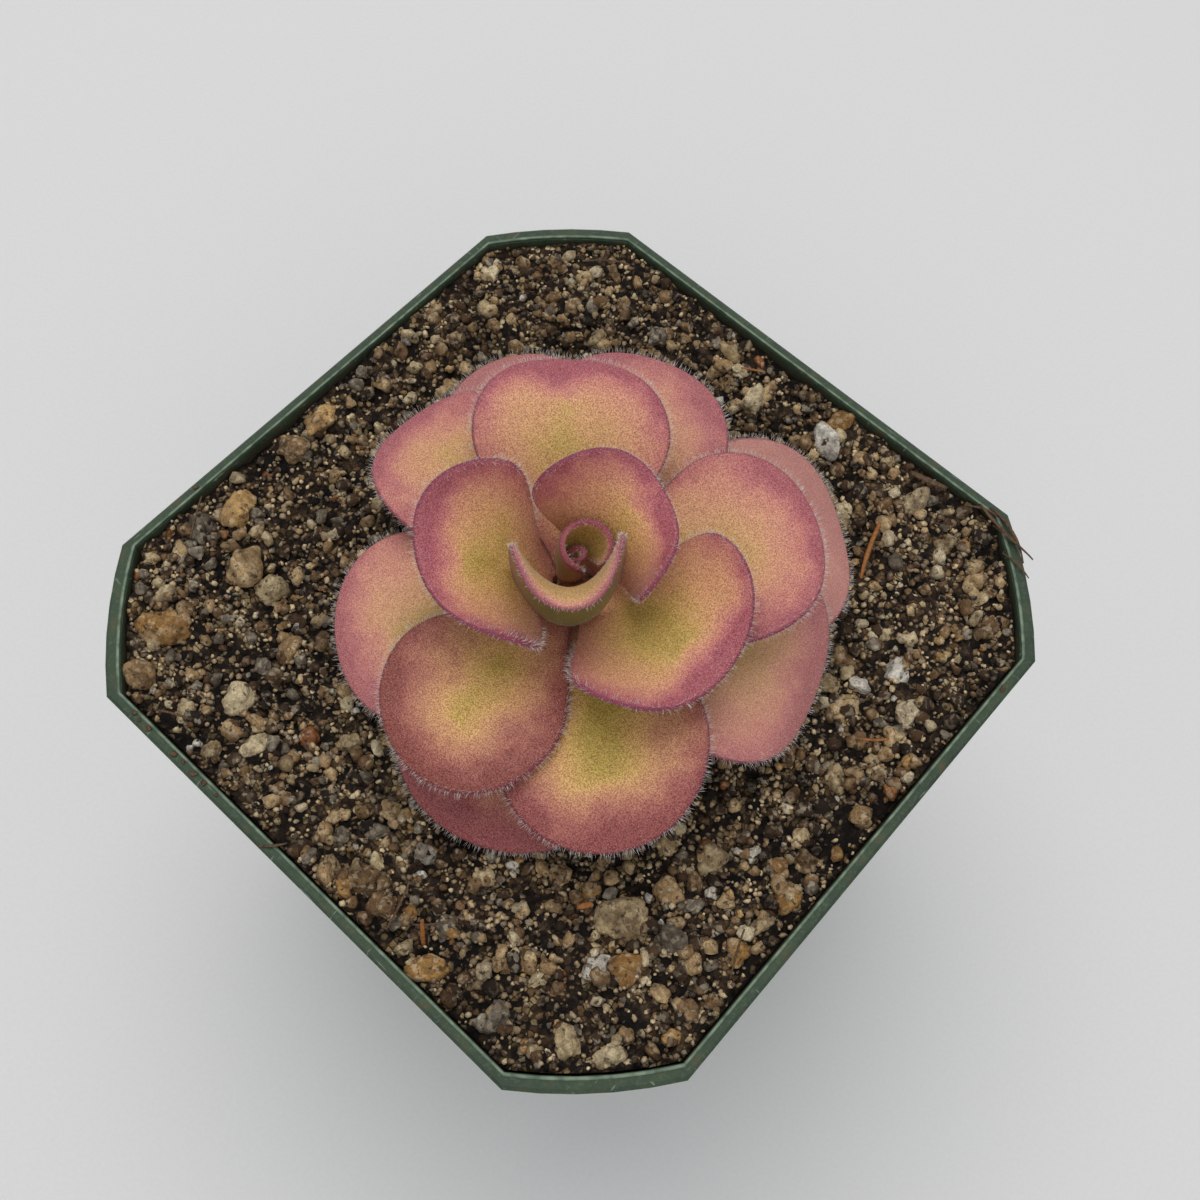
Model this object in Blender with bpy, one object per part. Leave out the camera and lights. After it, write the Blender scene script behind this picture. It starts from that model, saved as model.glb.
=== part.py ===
"""A Mexican butterwort growing in a square plastic nursery pot with cut corners.

Metres, +Z up. The origin is the middle of the pot's underside. The pot's flat sides face
+X, -X, +Y and -Y, and the plant stands on the Z axis. The rosette is a spiral: each leaf is
about a golden angle further round than the one before it, and older leaves lie lower and flatter.
"""

import math
import random
from collections import namedtuple
from functools import partial

import bpy
import bmesh
from mathutils import Vector, noise

MM = 0.001
X, Y, Z = Vector((1, 0, 0)), Vector((0, 1, 0)), Vector((0, 0, 1))

# Pot: sizes across its flat sides, and the leg of each cut corner
POT_HEIGHT = 84.0 * MM
RIM_ACROSS = 88.0 * MM
RIM_CUT = 13.3 * MM
FOOT_ACROSS = 64.0 * MM
RIM_TOP_WIDTH = 1.4 * MM
WALL = 1.0 * MM
LIP_HEIGHT = 7.5 * MM
LIP_STEP = 1.2 * MM
LIP_DRAFT = 0.8 * MM
LEDGE_RISE = 1.5 * MM
LEDGE_SLOPE = 1.0 * MM
SOFT = 0.35 * MM
CORNER_BOW = 0.8 * MM
CORNER_STEPS = 5
FLOOR = 1.4 * MM
RECESS_HEIGHT = 1.6 * MM
RECESS_ACROSS = 46.0 * MM
DRAIN_RADIUS = 3.3 * MM
DRAIN_OFFSET = 12.5 * MM

# Clearance between neighbouring pieces that touch on the real thing
SEAT = 0.3 * MM

# Potting mix. Waves are a height and how many of them there are in a metre
SOIL_BELOW_RIM = 4.0 * MM
MOUND_HEIGHT = 1.2 * MM
MOUND_RADIUS = 24.0 * MM
BANK_HEIGHT = 2.0 * MM
BANK_REACH = (33.0 * MM, 41.0 * MM)
SWELLS = (0.9 * MM, 45)
GRIT = (0.75 * MM, 420)
LUMPS = (0.45 * MM, 900)
SOIL_SIDE_STEPS = 16
SOIL_RINGS = 15
GRAIN_COUNT = 54
GRAIN_RADIUS = (1.1 * MM, 2.3 * MM)
GRAIN_SINK = 0.15
ROSETTE_REACH = 31.0 * MM
WALL_REACH = 6.0 * MM
CORNER_REACH = 67.0 * MM
SOIL_SEED = 7

# Rootstock
STEM_RADIUS = 2.2 * MM
STEM_TOP = 7.0 * MM
STEM_DEPTH = 8.0 * MM
HOLE_RADIUS = 3.6 * MM
ROOT_COUNT = 8
ROOT_STARTS = (3.8 * MM, 1.4 * MM)
ROOT_LENGTH = 24.0 * MM
ROOT_RADIUS = 0.75 * MM
ROOT_TIP = 0.35 * MM
ROOT_DIPS = (28, 52)
ROOT_DIP_GAIN = 22
ROOT_SEED = 3

# Leaves
LEAF_FOOT = 2.7 * MM
LOWEST_FOOT = -0.7 * MM
FOOT_RISE = 0.55 * MM
FOOT_SHARE = 0.22
WIDEST_AT = 0.60
EDGE_THICK = 0.7 * MM
FOOT_EXTRA = 0.1 * MM
CURL_POWER = 0.3
FOOT_FLAT = 0.02
SPINE = (0.10, 0.74)
LEAF_SIDES = 26
LEAF_RINGS = (0.0, 0.34, 0.64, 0.88, 1.0)

# The open leaves, from the youngest to the oldest. turn: degrees round the stem. length and width
# in millimetres. rise: degrees above level at the foot. heave: degrees that it is steeper halfway.
# bend: degrees that it loses from foot to tip, and late: how close to the tip. curl: radius across
# the blade near its tip, in millimetres. vee: 1 where its sides run out straight. roll: degrees
# about its midrib. droop: millimetres that its edges hang. sweep: millimetres that its tip leans.
# thick: millimetres.
Leaf = namedtuple("Leaf", "turn length width rise heave bend late curl vee roll droop sweep thick")
LEAVES = (
    Leaf(311, 18.2, 17.0, -6, 105, -15, 3.8, 3.5, 1, 5, 0.0, 0.0, 0.85),
    Leaf(71.5, 15.5, 19.0, 84, 0, 68, 1.5, 9, 0, 19, -1.4, 0.3, 0.90),
    Leaf(238.5, 18.5, 23.0, 57, 0, 41, 1.5, 10, 0, -15, -0.5, -2.5, 0.95),
    Leaf(1.5, 20.0, 26.0, 32, 0, 20, 1.5, 12, 0, 1, 0.6, -0.4, 1.20),
    Leaf(133, 24.5, 22.5, 43, 0, 59, 1.5, 30, 0, 2, 1.0, 0.8, 1.35),
    Leaf(275, 26.0, 21.0, 22, 0, 37, 1.5, 34, 0, 2, 1.1, 1.1, 1.35),
    Leaf(48, 26.0, 24.0, 25, 0, 29, 1.5, 24, 0, -2, 0.0, 0.5, 1.35),
    Leaf(174.5, 27.0, 20.5, 29, 0, 58, 1.5, 33, 0, -1, 0.3, 1.1, 1.35),
    Leaf(322.5, 29.0, 23.0, 22, 0, 38, 1.5, 45, 0, 5, 0.8, -0.8, 1.35),
    Leaf(112, 29.5, 23.0, 20, 0, 37, 1.5, 50, 0, 1, 0.7, 0.8, 1.35),
    Leaf(238.5, 25.5, 23.5, 21, 0, 47, 1.5, 60, 0, -1, 0.8, 0.4, 1.35),
    Leaf(20.5, 29.0, 25.5, 28, 0, 75, 1.5, 34, 0, 4, 0.3, -1.6, 1.35),
    Leaf(149, 31.0, 21.0, 14, 0, 30, 1.5, 160, 0, -3, 0.8, -0.7, 1.35),
    Leaf(292, 28.0, 26.0, 13, 0, 37, 1.5, 90, 0, 0, 0.8, 0.0, 1.35),
    Leaf(58, 32.0, 27.5, 15, 0, 43, 1.5, 22, 0, 7, 1.6, 1.5, 1.35),
)

# The two youngest leaves are still rolled up round the axis. twist: degrees that the tip is turned
# on. foot and radius: distance of the midrib from the axis at the foot and at the tip. spiral:
# millimetres that the roll opens a radian. start: millimetres above the rim. lean: millimetres
# that the tip leans, towards lean_turn.
Scroll = namedtuple("Scroll", "turn twist length width foot radius spiral thick start lean lean_turn")
SCROLLS = (
    Scroll(32, 0, 5.6, 4.6, 0.70, 0.80, 0.16, 0.62, 7.6, 0.3, 45),
    Scroll(190, -45, 8.5, 14.5, 1.6, 2.65, -0.25, 0.65, 7.4, 1.2, 40),
)


def clear_scene():
    for obj in list(bpy.data.objects):
        bpy.data.objects.remove(obj, do_unlink=True)


def material(name, colour, roughness):
    made = bpy.data.materials.new(name)
    made.use_nodes = True
    shader = made.node_tree.nodes["Principled BSDF"]
    shader.inputs["Base Color"].default_value = (*colour, 1.0)
    shader.inputs["Roughness"].default_value = roughness
    shader.inputs["Metallic"].default_value = 0.0
    return made


def add_object(name, points, faces, finish=None):
    """A closed smooth-shaded object, with doubled points merged and its faces turned outwards."""
    mesh = bpy.data.meshes.new(name)
    mesh.from_pydata([tuple(p) for p in points], [], faces)
    shape = bmesh.new()
    shape.from_mesh(mesh)
    bmesh.ops.remove_doubles(shape, verts=shape.verts, dist=1e-6)
    bmesh.ops.recalc_face_normals(shape, faces=shape.faces)
    shape.to_mesh(mesh)
    shape.free()
    mesh.shade_smooth()
    mesh.set_sharp_from_angle(angle=math.radians(40))
    if finish:
        mesh.materials.append(finish)
    obj = bpy.data.objects.new(name, mesh)
    bpy.context.scene.collection.objects.link(obj)
    return obj


def bridge(rings):
    """Faces between each ring of points and the next. All rings have the same length."""
    count = len(rings[0])
    faces = []
    for low in range(len(rings) - 1):
        a, b = low * count, (low + 1) * count
        for i in range(count):
            j = (i + 1) % count
            faces.append((a + i, a + j, b + j, b + i))
    return faces


def loft(rings):
    """Points and faces of a skin through rings of equal length, with a fan over each end."""
    points = [p for ring in rings for p in ring]
    faces = bridge(rings)
    count = len(rings[0])
    for ring, start in ((rings[0], 0), (rings[-1], len(points) - count)):
        points.append(sum(ring, Vector()) / count)
        last = len(points) - 1
        faces += [(start + i, start + (i + 1) % count, last) for i in range(count)]
    return points, faces


def circle(middle, across, up, radius, sides):
    """Points round a middle, in the plane of two unit vectors."""
    turns = (math.tau * i / sides for i in range(sides))
    return [middle + (across * math.cos(a) + up * math.sin(a)) * radius for a in turns]


def level_circle(middle, height, radius, sides):
    return circle(middle + Z * height, X, Y, radius, sides)


def combine(target, others, operation):
    """Joins others to target, or cuts them out of it, with one Boolean, then removes them."""
    group = bpy.data.collections.new(f"{target.name}_{operation.lower()}")
    bpy.context.scene.collection.children.link(group)
    for other in others:
        other.hide_render = True
        other.display_type = "WIRE"
        bpy.context.scene.collection.objects.unlink(other)
        group.objects.link(other)
    step = target.modifiers.new(operation.lower(), "BOOLEAN")
    step.operation = operation
    step.operand_type = "COLLECTION"
    step.collection = group
    step.solver = "EXACT"
    graph = bpy.context.evaluated_depsgraph_get()
    joined = bpy.data.meshes.new_from_object(target.evaluated_get(graph))
    target.modifiers.clear()
    target.data = joined
    for other in list(group.objects):
        bpy.data.objects.remove(other, do_unlink=True)
    bpy.data.collections.remove(group)


def octagon(across, height, corner_steps, side_steps):
    """A square ring with cut corners that bow out, anticlockwise from the +X side."""
    half = across / 2
    cut_leg = RIM_CUT * across / RIM_ACROSS
    bow = CORNER_BOW * across / RIM_ACROSS
    side_start = Vector((half, cut_leg - half))
    side_end = Vector((half, half - cut_leg))
    corner_end = Vector((half - cut_leg, half))
    outwards = Vector((1, 1)).normalized()
    quarter = [side_start.lerp(side_end, i / side_steps) for i in range(side_steps)]
    for i in range(corner_steps):
        share = i / corner_steps
        swell = 4 * share * (1 - share) * bow
        quarter.append(side_end.lerp(corner_end, share) + outwards * swell)
    ring = []
    for turn in range(4):
        c, s = round(math.cos(turn * math.pi / 2)), round(math.sin(turn * math.pi / 2))
        ring += [Vector((p.x * c - p.y * s, p.x * s + p.y * c, height)) for p in quarter]
    return ring


def wall_across(height):
    """The pot's outer width at a height, below the lip."""
    top = RIM_ACROSS - 2 * LIP_STEP
    return FOOT_ACROSS + (top - FOOT_ACROSS) * height / POT_HEIGHT


def cavity_profile():
    """The pot's inside, as widths across at heights, from the rim down to the floor."""
    inner_rim = RIM_ACROSS - 2 * RIM_TOP_WIDTH
    ledge_top = POT_HEIGHT - LIP_HEIGHT + LEDGE_RISE
    ledge_foot = ledge_top - LEDGE_SLOPE
    return (
        (inner_rim - LIP_DRAFT, ledge_top),
        (wall_across(ledge_foot) - 2 * WALL, ledge_foot),
        (wall_across(FLOOR) - 2 * WALL, FLOOR),
        (RECESS_ACROSS + 3 * MM, FLOOR),
        (RECESS_ACROSS + 1 * MM, FLOOR + RECESS_HEIGHT),
    )


def make_pot(finish):
    lip_foot = POT_HEIGHT - LIP_HEIGHT
    profile = (
        (RECESS_ACROSS, RECESS_HEIGHT),
        (RECESS_ACROSS + 2 * MM, 0.0),
        (FOOT_ACROSS - 1.5 * MM, 0.0),
        (wall_across(0.0), 0.8 * MM),
        (wall_across(lip_foot), lip_foot),
        (RIM_ACROSS - LIP_DRAFT - 2 * SOFT, lip_foot),
        (RIM_ACROSS - LIP_DRAFT, lip_foot + SOFT),
        (RIM_ACROSS, POT_HEIGHT - SOFT),
        (RIM_ACROSS - 2 * SOFT, POT_HEIGHT),
        (RIM_ACROSS - 2 * (RIM_TOP_WIDTH - SOFT), POT_HEIGHT),
        (RIM_ACROSS - 2 * RIM_TOP_WIDTH, POT_HEIGHT - SOFT),
        *cavity_profile(),
    )
    rings = [octagon(across, height, CORNER_STEPS, 1) for across, height in profile]
    pot = add_object("pot", *loft(rings), finish)
    combine(pot, [drain(i) for i in range(5)], "DIFFERENCE")
    pot.data.shade_smooth()
    pot.data.set_sharp_from_angle(angle=math.radians(25))


def drain(index):
    """A round cutter through the floor: one in the middle, then one towards each corner."""
    angle = math.radians(45 + 90 * index)
    offset = DRAIN_OFFSET * math.sqrt(2) if index else 0.0
    middle = (X * math.cos(angle) + Y * math.sin(angle)) * offset
    ends = (-1 * MM, FLOOR + RECESS_HEIGHT + 1 * MM)
    rings = [level_circle(middle, height, DRAIN_RADIUS, 16) for height in ends]
    return add_object(f"drain_{index}", *loft(rings))


def wave(x, y, size, per_metre, layer):
    return size * noise.noise(Vector((x * per_metre, y * per_metre, layer)))


def soil_top(x, y):
    """Height of the potting mix: a low mound, banked up to the walls, under a gritty relief."""
    mound = MOUND_HEIGHT * math.exp(-(x * x + y * y) / MOUND_RADIUS**2)
    climb = (math.hypot(x, y) - BANK_REACH[0]) / (BANK_REACH[1] - BANK_REACH[0])
    climb = min(max(climb, 0.0), 1.0)
    bank = BANK_HEIGHT * climb * climb * (3 - 2 * climb)
    relief = wave(x, y, *SWELLS, 1.3) + wave(x, y, *GRIT, 5.1) + wave(x, y, *LUMPS, 9.7)
    return POT_HEIGHT - SOIL_BELOW_RIM + mound + bank + relief


def soil_ring(across, height, clear=SEAT):
    """A ring of the mix, clear of the pot's inside by one seat."""
    return octagon(across - 2 * clear, height, SOIL_SIDE_STEPS // 2, SOIL_SIDE_STEPS)


def make_soil(finish, root_cutters):
    level = POT_HEIGHT - SOIL_BELOW_RIM
    inner_rim = RIM_ACROSS - 2 * RIM_TOP_WIDTH
    lip_wall, ledge_foot, floor_edge, hump_foot, hump_top = cavity_profile()
    rings = [
        soil_ring(hump_top[0], hump_top[1] + SEAT, -SEAT),
        soil_ring(hump_foot[0], hump_foot[1] + SEAT, -SEAT),
        soil_ring(floor_edge[0], floor_edge[1] + SEAT),
        soil_ring(ledge_foot[0], ledge_foot[1] + SEAT),
        soil_ring(lip_wall[0], lip_wall[1] + SEAT),
    ]
    drop = SOIL_BELOW_RIM / (POT_HEIGHT - lip_wall[1])
    edge = soil_ring(inner_rim + (lip_wall[0] - inner_rim) * drop, level)
    hole = [(p * Vector((1, 1, 0))).normalized() * HOLE_RADIUS for p in edge]
    for step in range(SOIL_RINGS):
        share = (step / SOIL_RINGS) ** 0.9
        spots = [p.lerp(h, share) for p, h in zip(edge, hole)]
        rings.append([Vector((p.x, p.y, soil_top(p.x, p.y))) for p in spots])
    for height in (level, level - STEM_DEPTH - SEAT):
        rings.append([p + Z * height for p in hole])
    soil = add_object("soil", *loft(rings), finish)
    combine(soil, grains(), "UNION")
    combine(soil, root_cutters, "DIFFERENCE")


def grains():
    """Coarse perlite and pumice half sunk in the top of the mix, clear of the leaves."""
    draw = random.Random(SOIL_SEED)
    reach = RIM_ACROSS / 2 - WALL_REACH
    made = []
    while len(made) < GRAIN_COUNT:
        x = draw.uniform(-reach, reach)
        y = draw.uniform(-reach, reach)
        if math.hypot(x, y) > ROSETTE_REACH and abs(x) + abs(y) < CORNER_REACH:
            made.append(grain(f"grain_{len(made)}", x, y, draw))
    return made


def grain(name, x, y, draw):
    """A rough pebble: a ball of twenty sides, stretched and with its corners pushed about."""
    radius = draw.uniform(*GRAIN_RADIUS)
    stretch = [draw.uniform(0.75, 1.25) for _ in range(3)]
    shape = bmesh.new()
    bmesh.ops.create_icosphere(shape, subdivisions=1, radius=radius)
    for vert in shape.verts:
        for axis in range(3):
            vert.co[axis] *= stretch[axis] * draw.uniform(0.85, 1.1)
    middle = Vector((x, y, soil_top(x, y) + GRAIN_SINK * radius))
    points = [vert.co + middle for vert in shape.verts]
    faces = [[vert.index for vert in face.verts] for face in shape.faces]
    shape.free()
    return add_object(name, points, faces)


def root_path(index, steps=7):
    """A root's centreline: out of the stem, then down. Every other root starts lower."""
    draw = random.Random(ROOT_SEED + index)
    angle = math.tau * index / ROOT_COUNT
    length = ROOT_LENGTH * draw.uniform(0.75, 1.0)
    stem_foot = POT_HEIGHT - SOIL_BELOW_RIM - STEM_DEPTH
    start = stem_foot + ROOT_STARTS[index % 2]
    bow = draw.uniform(-0.25, 0.25)
    path = []
    for i in range(steps):
        share = i / (steps - 1)
        dip = math.radians(ROOT_DIPS[index % 2] + ROOT_DIP_GAIN * share)
        out = length * share * math.cos(dip) + 0.55 * STEM_RADIUS
        turn = angle + bow * share * share
        drop = length * share * math.sin(dip)
        path.append(Vector((out * math.cos(turn), out * math.sin(turn), start - drop)))
    return path


def root(index, extra):
    """One tapering root with `extra` added to its radius and to its end."""
    path = root_path(index)
    last = len(path) - 1
    angle = math.tau * index / ROOT_COUNT
    side = Y * math.cos(angle) - X * math.sin(angle)
    rings = []
    for i, p in enumerate(path):
        along = (path[min(i + 1, last)] - path[max(i - 1, 0)]).normalized()
        radius = ROOT_RADIUS + (ROOT_TIP - ROOT_RADIUS) * i / last + extra
        end = along * extra if i == last else Vector()
        rings.append(circle(p + end, side, side.cross(along), radius, 6))
    return add_object(f"root_{index}", *loft(rings))


def make_rootstock(finish):
    """The short stem that carries the leaves, with its roots fused to its lower end."""
    level = POT_HEIGHT - SOIL_BELOW_RIM
    profile = (
        (0.7 * STEM_RADIUS, level - STEM_DEPTH),
        (STEM_RADIUS, level - 0.7 * STEM_DEPTH),
        (1.05 * STEM_RADIUS, level),
        (STEM_RADIUS, POT_HEIGHT + 0.3 * STEM_TOP),
        (0.85 * STEM_RADIUS, POT_HEIGHT + 0.8 * STEM_TOP),
        (0.5 * STEM_RADIUS, POT_HEIGHT + STEM_TOP),
    )
    rings = [level_circle(Vector(), height, radius, 14) for radius, height in profile]
    stock = add_object("rootstock", *loft(rings), finish)
    combine(stock, [root(i, 0.0) for i in range(ROOT_COUNT)], "UNION")


def blade_edge(length, width, steps=80):
    """One side of the blade's edge in its own flat plane: a round end, then in to the foot."""
    edge = []
    for i in range(steps + 1):
        a = i / steps * math.pi / 2
        x = WIDEST_AT + (1 - WIDEST_AT) * math.cos(a)
        edge.append((length * x, width / 2 * math.sin(a)))
    for i in range(1, steps + 1):
        share = 1 - i / steps
        swell = math.sin(share * math.pi / 2) ** 1.6
        y = FOOT_SHARE + (1 - FOOT_SHARE) * swell
        edge.append((length * WIDEST_AT * share, width / 2 * y))
    return edge + [(0.0, 0.0)]


def blade_outline(length, width, sides):
    """Points evenly spaced along the blade's edge, from its tip right round."""
    fine = blade_edge(length, width)
    travelled = [0.0]
    for a, b in zip(fine, fine[1:]):
        travelled.append(travelled[-1] + math.dist(a, b))
    half = []
    at = 0
    for i in range(sides // 2 + 1):
        target = travelled[-1] * i / (sides // 2)
        while at < len(travelled) - 2 and travelled[at + 1] < target:
            at += 1
        share = (target - travelled[at]) / (travelled[at + 1] - travelled[at])
        a, b = fine[at], fine[at + 1]
        half.append((a[0] + (b[0] - a[0]) * share, a[1] + (b[1] - a[1]) * share))
    return half + [(x, -y) for x, y in half[-2:0:-1]]


def bent_midrib(leaf, foot_height, steps=60):
    """Distance out, height and slope along the midrib, at even steps of its length."""
    length = leaf.length * MM
    out, height = LEAF_FOOT, foot_height
    line = []
    for i in range(steps + 1):
        share = i / steps
        swing = leaf.heave * math.sin(share * math.pi)
        slope = math.radians(leaf.rise + swing - leaf.bend * share**leaf.late)
        if i:
            out += (math.cos(slope) + math.cos(line[-1][2])) / 2 * length / steps
            height += (math.sin(slope) + math.sin(line[-1][2])) / 2 * length / steps
        line.append((out, height, slope))
    return line


def bend_point(leaf, midrib, x, y, lift):
    """A point of the flat blade, x along it, y across and lift off it, on the bent leaf."""
    share = min(max(x / (leaf.length * MM), 0.0), 1.0)
    at = share * (len(midrib) - 1)
    low = min(int(at), len(midrib) - 2)
    before, after = midrib[low], midrib[low + 1]
    out, height, slope = (a + (b - a) * (at - low) for a, b in zip(before, after))
    curl = leaf.curl * MM
    if leaf.vee:
        lean = math.atan(y / curl)
        across, inward = curl * math.asinh(y / curl), math.hypot(curl, y) - curl
    else:
        curl /= max(share, FOOT_FLAT) ** CURL_POWER
        lean = y / curl
        across, inward = curl * math.sin(lean), curl - curl * math.cos(lean)
    across -= lift * math.sin(lean)
    inward += lift * math.cos(lean)
    roll = math.radians(leaf.roll)
    rolled = across * math.cos(roll) - inward * math.sin(roll)
    inward = across * math.sin(roll) + inward * math.cos(roll)
    inward -= leaf.droop * MM * (abs(y) / (leaf.width * MM / 2)) ** 3
    turn = math.radians(leaf.turn)
    outwards = X * math.cos(turn) + Y * math.sin(turn)
    sideways = Y * math.cos(turn) - X * math.sin(turn)
    radius = out - math.sin(slope) * inward
    side = rolled + leaf.sweep * MM * share * share
    return outwards * radius + sideways * side + Z * (height + math.cos(slope) * inward)


def scroll_point(scroll, x, y, lift):
    """A point of the flat blade, x along it, y across and lift off it, on the rolled leaf."""
    share = min(max(x / (scroll.length * MM), 0.0), 1.0)
    angle = y / (scroll.radius * MM)
    opened = scroll.radius - scroll.foot + scroll.spiral * angle
    flare = math.sin(share * math.pi / 2) ** 2
    radius = (scroll.foot + opened * flare) * MM - lift
    turn = math.radians(scroll.turn + scroll.twist * share**2) + angle
    height = POT_HEIGHT + scroll.start * MM + x
    lean_turn = math.radians(scroll.lean_turn)
    shift = (X * math.cos(lean_turn) + Y * math.sin(lean_turn)) * scroll.lean * MM * share**2
    return X * radius * math.cos(turn) + Y * radius * math.sin(turn) + Z * height + shift


def blade_thickness(thick, share_out, share_along):
    """Thickness at a share of the way from midrib to edge, and of the way from foot to tip."""
    body = thick * MM + FOOT_EXTRA * (1 - share_along)
    edge = min(EDGE_THICK, 0.97 * body)
    return body + (edge - body) * share_out**3


def make_leaf(name, leaf, place, finish):
    """A fleshy blade: an upper and a lower skin that meet in one ring round its edge."""
    length = leaf.length * MM
    edge = blade_outline(length, leaf.width * MM, LEAF_SIDES)
    spine = [min(max(x, SPINE[0] * length), SPINE[1] * length) for x, y in edge]

    def ring(share, side):
        """The edge drawn in towards the midrib. side: 1 above, -1 below, 0 on the edge."""
        placed = []
        for (x, y), s in zip(edge, spine):
            flat_x = s + (x - s) * share
            thick = blade_thickness(leaf.thick, share, flat_x / length)
            placed.append(place(flat_x, y * share, side * thick / 2))
        return placed

    rings = [ring(share, 1) for share in LEAF_RINGS[:-1]]
    rings.append(ring(LEAF_RINGS[-1], 0))
    rings += [ring(share, -1) for share in LEAF_RINGS[-2::-1]]
    points = [p for points in rings for p in points]
    halves = [(a, b, c) for a, b, c, d in bridge(rings)]
    halves += [(a, c, d) for a, b, c, d in bridge(rings)]
    add_object(name, points, halves, finish)


def main():
    clear_scene()
    plastic = material("pot_green", (0.045, 0.105, 0.062), 0.5)
    mix = material("potting_mix", (0.11, 0.075, 0.05), 0.95)
    stem = material("stem_tan", (0.35, 0.24, 0.13), 0.8)
    flesh = material("leaf_flesh", (0.55, 0.24, 0.17), 0.45)
    make_pot(plastic)
    make_rootstock(stem)
    make_soil(mix, [root(i, SEAT) for i in range(ROOT_COUNT)])
    for number, scroll in enumerate(SCROLLS, 1):
        make_leaf(f"leaf_{number:02d}", scroll, partial(scroll_point, scroll), flesh)
    for age, leaf in enumerate(LEAVES):
        foot = POT_HEIGHT + LOWEST_FOOT + FOOT_RISE * (len(LEAVES) - 1 - age)
        place = partial(bend_point, leaf, bent_midrib(leaf, foot))
        make_leaf(f"leaf_{age + 1 + len(SCROLLS):02d}", leaf, place, flesh)


main()
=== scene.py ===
"""A Mexican butterwort in its square plastic nursery pot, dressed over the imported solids.

Metres, +Z up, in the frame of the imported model. Each leaf solid gets a fine fleshy blade with
stippled colour and a coat of hairs, the potting mix its crumb, pumice, sand and fibres, and the
pot its moulded plastic and the litter on its rim.
"""

import math
from collections import namedtuple

import bmesh
import bpy
import numpy as np
from mathutils import Matrix, Vector, noise


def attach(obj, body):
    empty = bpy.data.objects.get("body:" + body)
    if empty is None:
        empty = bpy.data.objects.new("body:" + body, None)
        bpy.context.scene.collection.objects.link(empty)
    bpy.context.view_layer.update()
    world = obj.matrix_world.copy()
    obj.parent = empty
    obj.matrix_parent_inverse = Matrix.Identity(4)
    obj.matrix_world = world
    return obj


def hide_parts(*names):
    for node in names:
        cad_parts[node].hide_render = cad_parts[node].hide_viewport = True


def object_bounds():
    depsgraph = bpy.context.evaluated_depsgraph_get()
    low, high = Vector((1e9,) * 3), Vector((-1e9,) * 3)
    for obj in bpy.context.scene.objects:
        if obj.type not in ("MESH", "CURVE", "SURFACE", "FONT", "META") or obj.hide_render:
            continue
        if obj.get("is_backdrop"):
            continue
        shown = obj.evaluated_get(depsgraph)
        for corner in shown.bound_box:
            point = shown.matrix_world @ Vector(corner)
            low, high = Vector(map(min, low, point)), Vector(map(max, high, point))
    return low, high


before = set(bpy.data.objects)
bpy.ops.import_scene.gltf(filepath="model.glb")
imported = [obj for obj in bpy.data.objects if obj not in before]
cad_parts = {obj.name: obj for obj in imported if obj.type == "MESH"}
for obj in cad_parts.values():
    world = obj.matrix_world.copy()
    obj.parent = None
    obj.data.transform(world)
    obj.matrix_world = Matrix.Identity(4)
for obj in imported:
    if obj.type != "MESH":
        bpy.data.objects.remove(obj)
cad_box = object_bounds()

MM = 0.001

# Camera: what it looks at, degrees round and above it, degrees of roll, and how far off it is
CAMERA_TARGET = (2.1 * MM, 2.2 * MM, 84.0 * MM)
CAMERA_AZIMUTH, CAMERA_ELEVATION, CAMERA_ROLL = 39.4, 67.1, 3.1
CAMERA_DISTANCE = 152.3 * MM
CAMERA_LENS, CAMERA_SENSOR = 39.27, 36.0

# Pot
POT_HEIGHT = 84.0 * MM
RIM_ACROSS = 88.0 * MM
RIM_CUT = 13.3 * MM
RIM_TOP_WIDTH = 1.4 * MM
FOOT_ACROSS = 64.0 * MM
WALL = 1.0 * MM
LIP_HEIGHT = 7.5 * MM
LIP_STEP = 1.2 * MM
LIP_DRAFT = 0.8 * MM
LEDGE_RISE = 1.5 * MM
LEDGE_SLOPE = 1.0 * MM
CORNER_BOW = 0.8 * MM
FLOOR = 1.4 * MM
RECESS_HEIGHT = 1.6 * MM
RECESS_ACROSS = 46.0 * MM
SEAT = 0.3 * MM
FLASH_WIDTH = 0.28 * MM
FLASH_RISE = 0.12 * MM
FLASH_STEPS = (40, 80)

# Potting mix. Waves are a height and how many of them there are in a metre
SOIL_BELOW_RIM = 4.0 * MM
MOUND_HEIGHT = 1.2 * MM
MOUND_RADIUS = 24.0 * MM
SWELLS = (0.9 * MM, 45)
GRIT = (0.75 * MM, 420)
LUMPS = (0.45 * MM, 900)
CRUMBS = (0.30 * MM, 2300)
CLODS = (0.9 * MM, 300)
BANK_HEIGHT = 2.0 * MM
BANK_REACH = (33.0 * MM, 41.0 * MM)
WALL_RISE = (0.7 * MM, 3.0 * MM)
WALL_GAP = LIP_DRAFT / 8
EDGE_INSET = 0.5 * MM
# Relief of the mix over which painted shade fades from near black in its pits to none
PIT_SHADE_RELIEF = (-0.9 * MM, 0.25 * MM)
STEM_DEPTH = 8.0 * MM
HOLE_RADIUS = 3.6 * MM
SOIL_RINGS, SOIL_STEPS = 118, (26, 56)
SOIL_SEED = 11
FIBRE_SEED = 4
RIM_LEVEL = POT_HEIGHT / MM

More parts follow.
